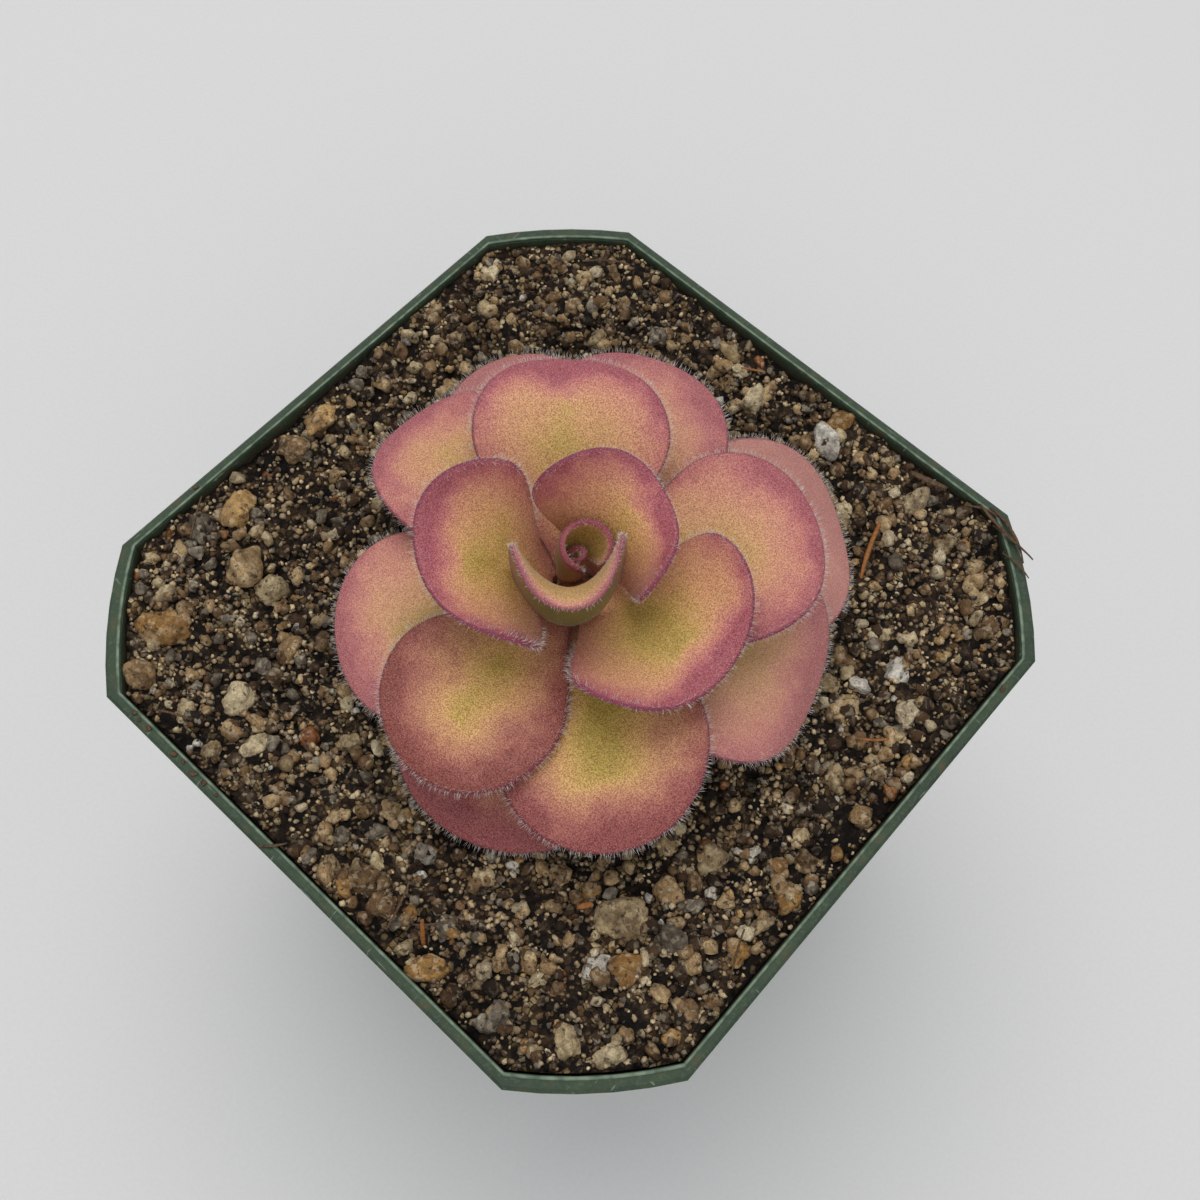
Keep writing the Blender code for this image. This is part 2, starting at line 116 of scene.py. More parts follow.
# Leaves
LEAF_FOOT = 2.7 * MM
LOWEST_FOOT = -0.7 * MM
FOOT_RISE = 0.55 * MM
FOOT_SHARE = 0.22
WIDEST_AT = 0.60
EDGE_THICK = 0.7 * MM
FOOT_EXTRA = 0.1 * MM
CURL_POWER = 0.3
FOOT_FLAT = 0.02
SPINE = (0.10, 0.74)
LEAF_SIDES = 120
OUTLINE_STEPS, BEND_STEPS = 160, 60
UPPER_RINGS = (0.0, 0.14, 0.27, 0.39, 0.5, 0.6, 0.69, 0.77, 0.84, 0.9, 0.95, 1.0)
LOWER_RINGS = (0.0, 0.3, 0.55, 0.75, 0.9, 1.0)
MARGIN_TURNS = (18, 36, 54, 72, 90)

# The open leaves, from the youngest to the oldest. Lengths are in millimetres and angles in degrees.
# turn: round the stem. rise: slope at the foot. heave: slope that it gains halfway along and loses
# again. bend: slope that it loses from foot to tip. late: power that puts the bend near the tip.
# curl: radius across the blade near its tip. vee: 1 where the blade is folded in a V, 0 where it is
# round across. roll: about its midrib. droop: how far its edges hang. sweep: how far its tip leans
# aside. thick: thickness. blush: how far pink reaches in from its edge, least below 0. pale: how
# faded it is, or below 0 how red-brown its margin is.
Leaf = namedtuple(
    "Leaf",
    "turn length width rise heave bend late curl vee roll droop sweep thick blush pale",
)
LEAVES = (
    Leaf(311, 17.9, 17.8, -9, 107, -15, 3.8, 3.8, 1, 7, 0.0, 0.0, 0.85, -1.0, 0.5),
    Leaf(71.5, 15.5, 19.0, 84, 0, 68, 1.5, 9, 0, 19, -1.4, 0.3, 0.90, 0.5, 0.1),
    Leaf(238.5, 18.5, 23.0, 57, 0, 41, 1.5, 10, 0, -15, -0.5, -2.5, 0.95, 0.4, 0.1),
    Leaf(1.5, 20.0, 26.0, 32, 0, 20, 1.5, 12, 0, 1, 0.6, -0.4, 1.20, 0.5, 0.1),
    Leaf(133, 24.5, 22.5, 43, 0, 59, 1.5, 30, 0, 2, 1.0, 0.8, 1.35, 0.6, 0.1),
    Leaf(275, 26.0, 21.0, 22, 0, 37, 1.5, 34, 0, 2, 1.1, 1.1, 1.35, 0.5, -0.9),
    Leaf(48, 26.0, 24.0, 25, 0, 29, 1.5, 24, 0, -2, 0.0, 0.5, 1.35, 0.65, 0.2),
    Leaf(174.5, 27.0, 20.5, 29, 0, 58, 1.5, 33, 0, -1, 0.3, 1.1, 1.35, 0.6, 0.2),
    Leaf(322.5, 29.0, 23.0, 22, 0, 38, 1.5, 45, 0, 5, 0.8, -0.8, 1.35, 0.3, -0.7),
    Leaf(112, 29.5, 23.0, 20, 0, 37, 1.5, 50, 0, 1, 0.7, 0.8, 1.35, 0.7, 0.3),
    Leaf(238.5, 25.5, 23.5, 21, 0, 47, 1.5, 60, 0, -1, 0.8, 0.4, 1.35, 0.6, 0.4),
    Leaf(20.5, 29.0, 25.5, 28, 0, 75, 1.5, 34, 0, 4, 0.3, -1.6, 1.35, 0.7, 0.6),
    Leaf(149, 31.0, 21.0, 14, 0, 30, 1.5, 160, 0, -3, 0.8, -0.7, 1.35, 0.6, 0.6),
    Leaf(292, 28.0, 26.0, 13, 0, 37, 1.5, 90, 0, 0, 0.8, 0.0, 1.35, 0.9, -0.6),
    Leaf(58, 32.0, 27.5, 15, 0, 43, 1.5, 22, 0, 7, 1.6, 1.5, 1.35, 1.0, 1.0),
)

# The two youngest leaves are still rolled up round the axis, in the same units. twist: how far the
# midrib has turned at the tip. foot and radius: distance of the midrib from the axis at the foot and
# at the tip. spiral: how far the roll opens in a radian. start: height of the foot above the rim.
# lean and lean_turn: how far the tip leans, and which way.
Scroll = namedtuple(
    "Scroll",
    "turn twist length width foot radius spiral thick start lean lean_turn blush pale",
)
SCROLLS = (
    Scroll(32, 0, 5.6, 4.6, 0.70, 0.80, 0.16, 0.62, 7.6, 0.3, 45, -0.9, 0.2),
    Scroll(190, -45, 8.5, 14.5, 1.6, 2.65, -0.25, 0.65, 7.4, 1.2, 40, -1.0, 0.2),
)

# Hairs, as a count on a square millimetre, a length range and a width at the foot. The youngest
# leaves have shorter ones, and the foot of each leaf none
HAIR_SEED = 5
MARGIN_BAND = 0.40 * MM
MARGIN_HAIRS = 13.0
UPPER_HAIRS = 2.6
LOWER_HAIRS = 1.2
MARGIN_LENGTH = (0.45 * MM, 1.15 * MM)
SHORT_LENGTH = (0.12 * MM, 0.26 * MM)
HAIR_WIDTH = 0.048 * MM
BALD_FOOT = 0.22
YOUNG_LEAVES, YOUNG_HAIRS = 4, 0.55
FRINGE_LEAN, FUZZ_LEAN, FRINGE_LIFT = 0.30, 0.45, 0.22
HAIR_ROOT = 0.04 * MM
TOP_LIMIT = cad_box[1][2] - 0.02 * MM

# Grains that stand out in the mix, by kind: place and size across in millimetres
PEBBLES = {
    "cream": (
        (-28.3, -22.3, 4.2), (-20.5, -34.1, 4.4), (-21.6, -21.0, 1.9), (-7.9, -28.8, 2.6),
        (-36.2, -31.4, 3.0), (-23.5, -39.6, 3.6), (-17.8, -40.4, 2.6), (-15.2, -36.6, 3.1),
        (28.8, -22.7, 6.4), (25.8, -33.6, 1.9), (21.1, -36.8, 2.2), (4.4, -36.4, 2.3),
        (1.2, -40.0, 2.0), (14.1, -29.4, 2.9), (21.1, -32.1, 1.9), (32.5, -36.3, 3.2),
        (36.6, -34.0, 2.8), (31.1, -11.3, 3.6), (36.9, -2.6, 2.6), (39.6, -13.3, 2.8),
        (21.3, 38.4, 3.1), (15.2, 32.1, 2.7), (34.3, 33.2, 2.2), (27.5, 36.4, 2.6),
        (29.1, 22.7, 2.2), (27.6, 13.5, 3.1), (37.1, 16.5, 3.6), (38.7, 8.7, 2.0),
        (35.5, 4.9, 3.2), (-12.6, 40.8, 2.3), (-9.6, 40.0, 2.8), (-6.8, 38.6, 2.6),
        (-2.8, 36.9, 3.3), (15.3, 40.8, 2.3), (-23.1, 29.5, 2.2), (-40.4, 27.3, 2.6),
    ),
    "grey": (
        (-39.6, -22.8, 4.2), (25.4, -39.0, 2.9), (24.5, -40.8, 2.2), (15.2, -36.3, 3.0),
        (1.7, -34.1, 2.5), (-0.9, -37.3, 2.6), (-1.0, -41.0, 2.0), (32.9, -16.7, 2.3),
        (33.7, -20.9, 3.4), (-17.7, 35.0, 3.1), (-37.4, 37.0, 2.2),
    ),
    "ochre": (
        (-34.6, -36.0, 6.2), (-38.4, -18.0, 5.0), (32.4, -26.3, 4.4), (23.2, -22.9, 2.6),
        (16.9, -41.4, 3.6), (4.1, -40.8, 2.3), (10.9, -37.7, 1.8), (37.3, -7.3, 2.7),
        (39.9, -9.4, 2.5), (39.8, -17.0, 3.3), (40.0, -28.6, 2.0), (40.4, 11.6, 2.5),
        (7.4, 41.0, 2.5), (-40.6, -3.0, 4.2),
    ),
    "orange": (
        (-11.9, -31.6, 2.7), (41.0, 7.7, 2.0), (-5.6, 41.2, 2.0),
    ),
    "tan": (
        (-32.2, -22.8, 4.6), (-21.6, -25.9, 2.8), (-30.5, -39.8, 3.2), (20.0, -23.9, 2.6),
        (22.0, -35.0, 2.0), (1.4, -31.4, 2.5), (4.8, -38.8, 3.0), (8.5, -39.1, 3.9),
        (26.3, -13.3, 2.4), (38.8, -4.7, 3.1), (40.6, -6.1, 2.0), (30.0, -17.3, 2.9),
        (36.6, -21.5, 3.1), (38.8, -22.5, 2.0), (39.6, -25.5, 3.4), (36.4, -31.8, 2.5),
        (31.0, 12.6, 3.6), (37.3, 13.0, 3.1), (-7.0, 36.6, 2.5), (-40.4, -7.8, 4.4),
    ),
    "white": (
        (-23.1, -23.1, 2.0), (7.4, -32.1, 3.1), (8.7, -34.1, 1.5), (29.6, -28.5, 3.2),
        (15.4, -26.6, 1.3), (34.1, -7.8, 2.1), (33.6, -14.3, 1.7), (36.4, -17.2, 1.4),
        (33.1, 20.0, 4.0), (30.6, 15.9, 2.4), (8.0, 38.2, 3.6),
    ),
}

# Strands and crumbs on the mix and on the rim: both ends in millimetres with heights above the rim,
# width, how thin the section is beside its width, and how far the strand bows
Fibre = namedtuple("Fibre", "x y z x2 y2 z2 width flat bow")
ORANGE_FIBRES = (
    (19.8, 33.4, -0.9, 22.6, 25.8, -1.4, 0.60, 0.5, 0.3),
    (14.7, -39.2, -0.9, 13.3, -37.6, 2.2, 0.62, 0.4, 0.2),
    (23.9, -25.4, -1.0, 24.9, -24.1, -0.5, 0.70, 0.3, 0.1),
    (-6.2, 37.8, 0.0, -3.4, 39.2, 0.3, 0.35, 0.6, 0.3),
    (34.6, 9.4, 0.0, 37.2, 11.6, 0.2, 0.35, 0.6, 0.3),
)
BROWN_FIBRES = (
    (18.4, 40.6, -0.2, 23.2, 41.6, 0.2, 0.90, 0.3, 0.5),
    (27.4, 42.6, 0.2, 33.6, 41.2, 0.5, 0.55, 0.5, 0.7),
    (28.6, 43.0, 0.3, 35.8, 39.6, 0.3, 0.40, 0.6, 0.6),
    (30.2, 41.2, 0.4, 36.4, 40.6, 0.6, 0.35, 0.6, 0.8),
    (26.2, 41.4, 0.0, 31.2, 42.8, 0.4, 0.40, 0.6, 0.6),
    (33.2, 39.2, 0.0, 37.4, 38.4, 0.4, 0.30, 0.6, 0.4),
    (10.8, -40.8, -0.4, 9.2, -35.6, 0.6, 0.30, 0.6, 0.6),
    (12.4, -38.6, -0.2, 15.8, -34.4, 0.4, 0.28, 0.6, 0.6),
    (-41.8, -20.2, 0.2, -38.4, -24.8, 0.5, 0.25, 0.6, 0.6),
    (-25.6, -41.4, -0.3, -21.4, -39.4, 0.4, 0.30, 0.6, 0.5),
    (40.8, -20.2, -0.2, 38.6, -15.4, 0.4, 0.28, 0.6, 0.6),
    (-31.6, 36.4, 0.0, -26.8, 39.8, 0.4, 0.28, 0.6, 0.6),
    (-27.1, -43.2, 0.0, -26.5, -42.9, 0.1, 0.55, 0.7, 0.1),
    (-25.9, -43.5, 0.0, -25.6, -43.2, 0.1, 0.40, 0.7, 0.1),
    (-24.6, -43.0, 0.0, -23.9, -43.3, 0.2, 0.50, 0.7, 0.1),
    (-20.4, -43.4, 0.0, -19.6, -43.1, 0.1, 0.60, 0.7, 0.1),
    (-18.7, -43.0, 0.0, -18.3, -43.3, 0.1, 0.45, 0.7, 0.1),
    (-17.2, -43.5, 0.0, -16.3, -43.0, 0.1, 0.50, 0.7, 0.2),
    (-15.4, -43.1, 0.0, -14.8, -43.3, 0.1, 0.65, 0.7, 0.1),
    (-13.3, -43.4, 0.0, -12.9, -43.1, 0.1, 0.40, 0.7, 0.1),
    (-5.6, -43.9, 0.1, -3.4, -41.6, 0.4, 0.32, 0.6, 0.3),
    (-43.4, -20.2, 0.0, -43.1, -19.6, 0.1, 0.45, 0.7, 0.1),
    (43.3, 24.8, 0.0, 43.0, 25.6, 0.1, 0.55, 0.7, 0.1),
)

# Random grains by kind: how many, and the range of their size across in millimetres
SCATTER = (
    ("sand", 9000, (0.42, 0.98)),
    ("peat", 420, (0.8, 2.2)),
    ("brown", 800, (0.7, 1.9)),
    ("tan", 680, (0.8, 2.3)),
    ("grey", 260, (0.7, 1.9)),
    ("cream", 330, (0.7, 2.1)),
    ("ochre", 90, (0.6, 1.6)),
    ("white", 60, (0.6, 1.3)),
    ("orange", 46, (0.6, 1.3)),
)
BARE_RADIUS = 17.0 * MM
SCATTER_REACH = 42.5 * MM
GRAIN_STAND = 0.2
LEAF_GAP = 0.2 * MM
CLUMPS = 260

# Light and floor. Each light has a place, a size across, a power and a colour
KEY_LIGHT = ((-0.20, 0.16, 0.80), 0.62, 2.8, (1.0, 0.985, 0.96))
FILL_LIGHT = ((0.42, -0.38, 0.6), 0.9, 1.5, (1.0, 0.985, 0.97))
SKY_COLOUR, SKY_STRENGTH = (0.95, 0.97, 1.0, 1.0), 0.46
FLOOR_HALF = 2.5


def srgb(red, green, blue):
    """A linear colour with full opacity from one on the screen's 0 to 255 scale."""
    linear = []
    for value in (red, green, blue):
        share = value / 255
        linear.append(share / 12.92 if share <= 0.04045 else ((share + 0.055) / 1.055) ** 2.4)
    return (*linear, 1.0)


class Nodes:
    """One material's node tree, with a short call for each kind of node it needs."""

    def __init__(self, name):
        self.material = bpy.data.materials.new(name)
        self.material.use_nodes = True
        self.tree = self.material.node_tree
        self.shader = self.tree.nodes["Principled BSDF"]
        self.place = self.tree.nodes.new("ShaderNodeTexCoord").outputs["Object"]

    def add(self, kind, inputs=(), **settings):
        made = self.tree.nodes.new(kind)
        for key, value in settings.items():
            setattr(made, key, value)
        for key, value in dict(inputs).items():
            self.feed(made.inputs[key], value)
        return made

    def feed(self, socket, value):
        if isinstance(value, bpy.types.NodeSocket):
            self.tree.links.new(value, socket)
        else:
            socket.default_value = value

    def set(self, **values):
        """Sets or links sockets of the main shader. An underscore stands for a space."""
        for key, value in values.items():
            self.feed(self.shader.inputs[key.replace("_", " ")], value)

    def noise(self, scale, detail=2.0, roughness=0.5, distortion=0.0, place=None):
        inputs = {"Vector": place or self.place, "Scale": scale, "Detail": detail,
                  "Roughness": roughness, "Distortion": distortion}
        return self.add("ShaderNodeTexNoise", inputs).outputs["Fac"]

    def cells(self, scale, feature="F1", place=None):
        inputs = {"Vector": place or self.place, "Scale": scale}
        return self.add("ShaderNodeTexVoronoi", inputs, feature=feature).outputs["Distance"]

    def painted_shade_patches(self, colour):
        """Darkens soil colours in broad patches of painted shade, which run on from piece to piece."""
        patch = self.span(self.noise(250, detail=3, roughness=0.6), 0.36, 0.54, 0.62, 0.0)
        return self.mix(patch, colour, srgb(112, 90, 72), "MULTIPLY")

    def grains(self, scale):
        """Packed grains: a random number for each, 0 in the cracks between them, and height."""
        wobble = self.add("ShaderNodeTexNoise", {"Vector": self.place, "Scale": scale * 1.3})
        shift = self.add("ShaderNodeVectorMath", {0: wobble.outputs["Color"], 1: (2.5e-4,) * 3},
                         operation="MULTIPLY").outputs[0]
        place = self.add("ShaderNodeVectorMath", {0: self.place, 1: shift}).outputs[0]
        cell = self.add("ShaderNodeTexVoronoi", {"Vector": place, "Scale": scale})
        pick = self.add("ShaderNodeSeparateColor", {0: cell.outputs["Color"]}).outputs[0]
        crack = self.cells(scale, "DISTANCE_TO_EDGE", place)
        top = self.span(cell.outputs["Distance"], 0.0, 0.7, 1.0, 0.0)
        return pick, self.span(crack, 0.03, 0.14), top

    def attribute(self, name):
        return self.add("ShaderNodeAttribute", attribute_name=name).outputs["Fac"]

    def math(self, operation, first, second=0.0, third=0.0):
        inputs = {0: first, 1: second, 2: third}
        return self.add("ShaderNodeMath", inputs, operation=operation).outputs[0]

    def span(self, value, low, high, to_low=0.0, to_high=1.0):
        """Moves a value from one range to another, held within the second."""
        inputs = {"Value": value, "From Min": low, "From Max": high,
                  "To Min": to_low, "To Max": to_high}
        return self.add("ShaderNodeMapRange", inputs).outputs["Result"]

    def mix(self, factor, first, second, blend="MIX"):
        inputs = {0: factor, 6: first, 7: second}
        return self.add("ShaderNodeMix", inputs, data_type="RGBA", blend_type=blend).outputs[2]

    def ramp(self, factor, stops):
        """A colour ramp. stops: pairs of a position and a colour on the screen's scale."""
        made = self.add("ShaderNodeValToRGB", {"Fac": factor})
        points = made.color_ramp.elements
        while len(points) < len(stops):
            points.new(0.5)
        for point, (position, colour) in zip(points, stops):
            point.position = position
            point.color = srgb(*colour)
        return made.outputs["Color"]

    def stretched(self, scale):
        """Object coordinates with each axis multiplied by its own number."""
        inputs = {"Vector": self.place, "Scale": scale}
        return self.add("ShaderNodeMapping", inputs).outputs["Vector"]

    def bump(self, height, strength, distance, normal=None):
        inputs = {"Height": height, "Strength": strength, "Distance": distance}
        if normal:
            inputs["Normal"] = normal
        return self.add("ShaderNodeBump", inputs).outputs["Normal"]


def add_piece(name, points, faces, finish, attributes=None, smooth=True):
    """A mesh object with named numbers on its points."""
    mesh = bpy.data.meshes.new(name)
    mesh.from_pydata(np.asarray(points).tolist(), [], np.asarray(faces).tolist())
    for key, values in (attributes or {}).items():
        made = mesh.attributes.new(key, "FLOAT", "POINT")
        made.data.foreach_set("value", np.asarray(values, dtype=np.float32))
    if smooth:
        mesh.shade_smooth()
    mesh.materials.append(finish)
    obj = bpy.data.objects.new(name, mesh)
    bpy.context.scene.collection.objects.link(obj)
    return obj


def bridge(ring_count, side_count):
    """Quads between each ring of points and the next, all rings having the same length."""
    low = np.arange(ring_count - 1)[:, None] * side_count
    i = np.arange(side_count)[None, :]
    j = (i + 1) % side_count
    quads = np.stack([low + i, low + j, low + side_count + j, low + side_count + i], axis=-1)
    return quads.reshape(-1, 4)


# Leaf shape


def blade_outline(length, width, sides):
    """Points evenly spaced along the blade's edge, from its tip right round, in its own plane."""
    a = np.linspace(0, math.pi / 2, OUTLINE_STEPS + 1)
    tip = np.stack([length * (WIDEST_AT + (1 - WIDEST_AT) * np.cos(a)), width / 2 * np.sin(a)], 1)
    share = np.linspace(1, 0, OUTLINE_STEPS + 1)[1:]
    swell = FOOT_SHARE + (1 - FOOT_SHARE) * np.sin(share * math.pi / 2) ** 1.6
    foot = np.stack([length * WIDEST_AT * share, width / 2 * swell], 1)
    edge = np.vstack([tip, foot, [[0.0, 0.0]]])
    steps = np.linalg.norm(np.diff(edge, axis=0), axis=1)
    travelled = np.concatenate([[0.0], np.cumsum(steps)])
    stops = np.linspace(0, travelled[-1], sides // 2 + 1)
    half = np.stack([np.interp(stops, travelled, edge[:, i]) for i in range(2)], 1)
    return np.vstack([half, half[-2:0:-1] * (1, -1)])


def bent_blade(leaf, foot_height):
    """A call that places points of the flat blade, x along it, y across it and lift off it."""
    length = leaf.length * MM
    share = np.linspace(0, 1, BEND_STEPS + 1)
    swing = leaf.heave * np.sin(share * math.pi)
    slopes = np.radians(leaf.rise + swing - leaf.bend * share**leaf.late)

    def travelled(rates, start):
        means = (rates[1:] + rates[:-1]) / 2 * length / BEND_STEPS
        return start + np.concatenate([[0.0], np.cumsum(means)])

    outs = travelled(np.cos(slopes), LEAF_FOOT)
    heights = travelled(np.sin(slopes), foot_height)
    turn, roll = math.radians(leaf.turn), math.radians(leaf.roll)

    def place(x, y, lift):
        along = np.clip(x / length, 0, 1)
        out, height, slope = (np.interp(along, share, line) for line in (outs, heights, slopes))
        curl = leaf.curl * MM
        if leaf.vee:
            lean = np.arctan(y / curl)
            across, inward = curl * np.arcsinh(y / curl), np.hypot(curl, y) - curl
        else:
            curl = curl / np.maximum(along, FOOT_FLAT) ** CURL_POWER
            lean = y / curl
            across, inward = curl * np.sin(lean), curl - curl * np.cos(lean)
        across = across - lift * np.sin(lean)
        inward = inward + lift * np.cos(lean)
        side = across * math.cos(roll) - inward * math.sin(roll)
        inward = across * math.sin(roll) + inward * math.cos(roll)
        inward = inward - leaf.droop * MM * (np.abs(y) / (leaf.width * MM / 2)) ** 3
        radius = out - np.sin(slope) * inward
        side = side + leaf.sweep * MM * along**2
        return np.stack([
            math.cos(turn) * radius - math.sin(turn) * side,
            math.sin(turn) * radius + math.cos(turn) * side,
            height + np.cos(slope) * inward,
        ], axis=-1)

    return place


def rolled_blade(scroll):
    """The same call for a leaf that is still rolled up."""

    def place(x, y, lift):
        share = np.clip(x / (scroll.length * MM), 0, 1)
        angle = y / (scroll.radius * MM)
        opened = scroll.radius - scroll.foot + scroll.spiral * angle
        radius = (scroll.foot + opened * np.sin(share * math.pi / 2) ** 2) * MM - lift
        turn = np.radians(scroll.turn + scroll.twist * share**2) + angle
        height = POT_HEIGHT + scroll.start * MM + x
        shift = scroll.lean * MM * share**2
        lean_turn = math.radians(scroll.lean_turn)
        return np.stack([
            radius * np.cos(turn) + shift * math.cos(lean_turn),
            radius * np.sin(turn) + shift * math.sin(lean_turn),
            height,
        ], axis=-1)

    return place


def half_thickness(thick, share_out, share_along):
    """Half the blade's thickness, thinner or thicker towards its rounded edge."""
    body = thick * MM + FOOT_EXTRA * (1 - share_along)
    edge = np.minimum(EDGE_THICK, 0.97 * body)
    return (body + (edge - body) * share_out**3) / 2


def blade_rings(leaf):
    """The edge, the spine, the reach between them, and a share outwards and a side for each ring."""
    edge = blade_outline(leaf.length * MM, leaf.width * MM, LEAF_SIDES)
    length = leaf.length * MM
    spine = np.clip(edge[:, 0], SPINE[0] * length, SPINE[1] * length)
    reach = np.maximum(np.hypot(edge[:, 0] - spine, edge[:, 1]), 0.5 * MM)
    margin = np.minimum(EDGE_THICK / 2, 0.3 * reach) / reach
    upper = [(share * (1 - margin), 1.0) for share in UPPER_RINGS]
    for degrees in MARGIN_TURNS:
        a = math.radians(degrees)
        upper.append((1 - margin * (1 - math.sin(a)), math.cos(a)))
    lower = [(share, -side) for share, side in upper[-2::-1] if side < 1.0]
    lower += [(share * (1 - margin), -1.0) for share in LOWER_RINGS[::-1]]
    return edge, spine, reach, upper + lower


def make_leaf(name, leaf, place, finish, number):
    """A fleshy blade with a rounded margin, and the numbers that its material reads."""
    edge, spine, reach, rings = blade_rings(leaf)
    length = leaf.length * MM
    points, rim, along, under = [], [], [], []
    for share, side in rings:
        x = spine + (edge[:, 0] - spine) * share
        y = edge[:, 1] * share
        lift = side * half_thickness(leaf.thick, share, x / length)
        points.append(place(x, y, lift))
        rim.append((1 - share) * reach / MM)
        along.append(np.clip(x / length, 0, 1))
        under.append(np.full(len(x), 0.5 - 0.5 * side))
    count = len(edge)
    attributes = {
        "rim": np.concatenate(rim),
        "along": np.concatenate(along),
        "under": np.concatenate(under),
        "blush": np.full(count * len(rings), leaf.blush),
        "pale": np.full(count * len(rings), leaf.pale),
    }
    piece = add_piece(name, np.concatenate(points), bridge(len(rings), count), finish, attributes)
    merge_ends(piece)
    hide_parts(f"leaf_{number:02d}")
    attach(piece, "root")
    return piece


def merge_ends(piece):
    """Closes a lofted mesh by merging doubled points, and turns its faces outwards."""
    shape = bmesh.new()
    shape.from_mesh(piece.data)
    bmesh.ops.remove_doubles(shape, verts=shape.verts, dist=2e-6)
    bmesh.ops.recalc_face_normals(shape, faces=shape.faces)
    shape.to_mesh(piece.data)
    shape.free()
    piece.data.shade_smooth()


def triangles(mesh):
    """Corner indices of a mesh's triangles, with its points, point normals and triangle areas."""

    def triples(items, key, kind):
        values = np.zeros(len(items) * 3, dtype=kind)
        items.foreach_get(key, values)
        return values.reshape(-1, 3)

    mesh.calc_loop_triangles()
    corners = triples(mesh.loop_triangles, "vertices", np.int64)
    points = triples(mesh.vertices, "co", np.float64)
    normals = triples(mesh.vertices, "normal", np.float64)
    a, b, c = (points[corners[:, i]] for i in range(3))
    areas = np.linalg.norm(np.cross(b - a, c - a), axis=1) / 2
    return corners, points, normals, areas


def unit(vectors):
    return vectors / np.maximum(np.linalg.norm(vectors, axis=-1, keepdims=True), 1e-12)


def make_hairs(leaf_piece, finish, seed, scale):
    """Thin tapering hairs: a fringe of long ones round the edge and short fuzz on the blade.

    scale: length beside that on an old leaf.
    """
    draw = np.random.default_rng(seed)
    corners, points, normals, areas = triangles(leaf_piece.data)
    values = {}
    for key in ("rim", "under", "along"):
        values[key] = np.zeros(len(points), dtype=np.float32)
        leaf_piece.data.attributes[key].data.foreach_get("value", values[key])
    rim = values["rim"][corners].mean(axis=1) * MM
    under = values["under"][corners].mean(axis=1)
    density = np.where(under > 0.75, LOWER_HAIRS, UPPER_HAIRS)
    fringe = (rim < MARGIN_BAND) & (under < 0.8)
    density = np.where(values["along"][corners].mean(axis=1) < BALD_FOOT, 0.0, density)
    fringe &= density > 0
    density = np.where(fringe, MARGIN_HAIRS, density)
    counts = draw.poisson(density * areas / MM**2)
    chosen = np.repeat(np.arange(len(corners)), counts)
    weights = draw.dirichlet((1, 1, 1), len(chosen))
    foot = (points[corners[chosen]] * weights[..., None]).sum(axis=1)
    normal = unit((normals[corners[chosen]] * weights[..., None]).sum(axis=1))
    on_edge = fringe[chosen]
    lean = unit(draw.normal(size=(len(chosen), 3))) * np.where(on_edge, FRINGE_LEAN, FUZZ_LEAN)[:, None]
    heading = unit(normal + lean + np.array((0, 0, FRINGE_LIFT)) * on_edge[:, None])
    low = np.where(on_edge, MARGIN_LENGTH[0], SHORT_LENGTH[0])
    high = np.where(on_edge, MARGIN_LENGTH[1], SHORT_LENGTH[1])
    room = np.maximum(TOP_LIMIT - foot[:, 2], 0.0) / np.maximum(heading[:, 2], 1e-3)
    length = np.minimum(draw.uniform(low, high) * scale, room)
    tall = length > 0.5 * SHORT_LENGTH[0]
    name = leaf_piece.name + "_hairs"
    add_hair_piece(name, foot[tall], heading[tall], length[tall], finish)


def add_hair_piece(name, foot, heading, length, finish):
    """One closed three-sided spike for each hair, its foot just inside the skin."""
    spare = np.where(np.abs(heading[:, 2:]) < 0.9, ((0, 0, 1),), ((1, 0, 0),))
    side = unit(np.cross(heading, spare))
    other = np.cross(heading, side)
    base = foot - heading * HAIR_ROOT
    corners = []
    for i in range(3):
        a = math.tau * i / 3
        corners.append(base + (side * math.cos(a) + other * math.sin(a)) * HAIR_WIDTH / 2)
    corners.append(foot + heading * length[:, None])
    points = np.stack(corners, axis=1).reshape(-1, 3)
    spike = np.array(((0, 1, 3), (1, 2, 3), (2, 0, 3), (2, 1, 0)))
    faces = (np.arange(len(foot))[:, None, None] * 4 + spike).reshape(-1, 3)
    piece = add_piece(name, points, faces, finish)
    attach(piece, "root")


# Potting mix


def octagon(across, corner_steps, side_steps):
    """A level square ring with cut corners that bow out, anticlockwise from the +X side."""
    half = across / 2
    cut_leg = RIM_CUT * across / RIM_ACROSS
    bow = CORNER_BOW * across / RIM_ACROSS
    start, end = np.array((half, cut_leg - half)), np.array((half, half - cut_leg))
    corner_end = np.array((half - cut_leg, half))
    share = np.arange(side_steps)[:, None] / side_steps
    side = start + (end - start) * share
    share = np.arange(corner_steps)[:, None] / corner_steps
    swell = 4 * share * (1 - share) * bow
    corner = end + (corner_end - end) * share + math.sqrt(0.5) * swell
    quarter = np.vstack([side, corner])
    ring = []
    for turn in range(4):
        c, s = round(math.cos(turn * math.pi / 2)), round(math.sin(turn * math.pi / 2))
        ring.append(np.stack([quarter[:, 0] * c - quarter[:, 1] * s,
                              quarter[:, 0] * s + quarter[:, 1] * c], 1))
    return np.vstack(ring)


def level_ring(flat, height):
    """A flat ring of points lifted to a height."""
    return np.column_stack([flat, np.full(len(flat), height)])


def wall_across(height):
    """The pot's outer width at a height, below the lip."""
    top = RIM_ACROSS - 2 * LIP_STEP
    return FOOT_ACROSS + (top - FOOT_ACROSS) * height / POT_HEIGHT


def wave(x, y, size, per_metre, layer):
    return size * noise.noise(Vector((x * per_metre, y * per_metre, layer)))


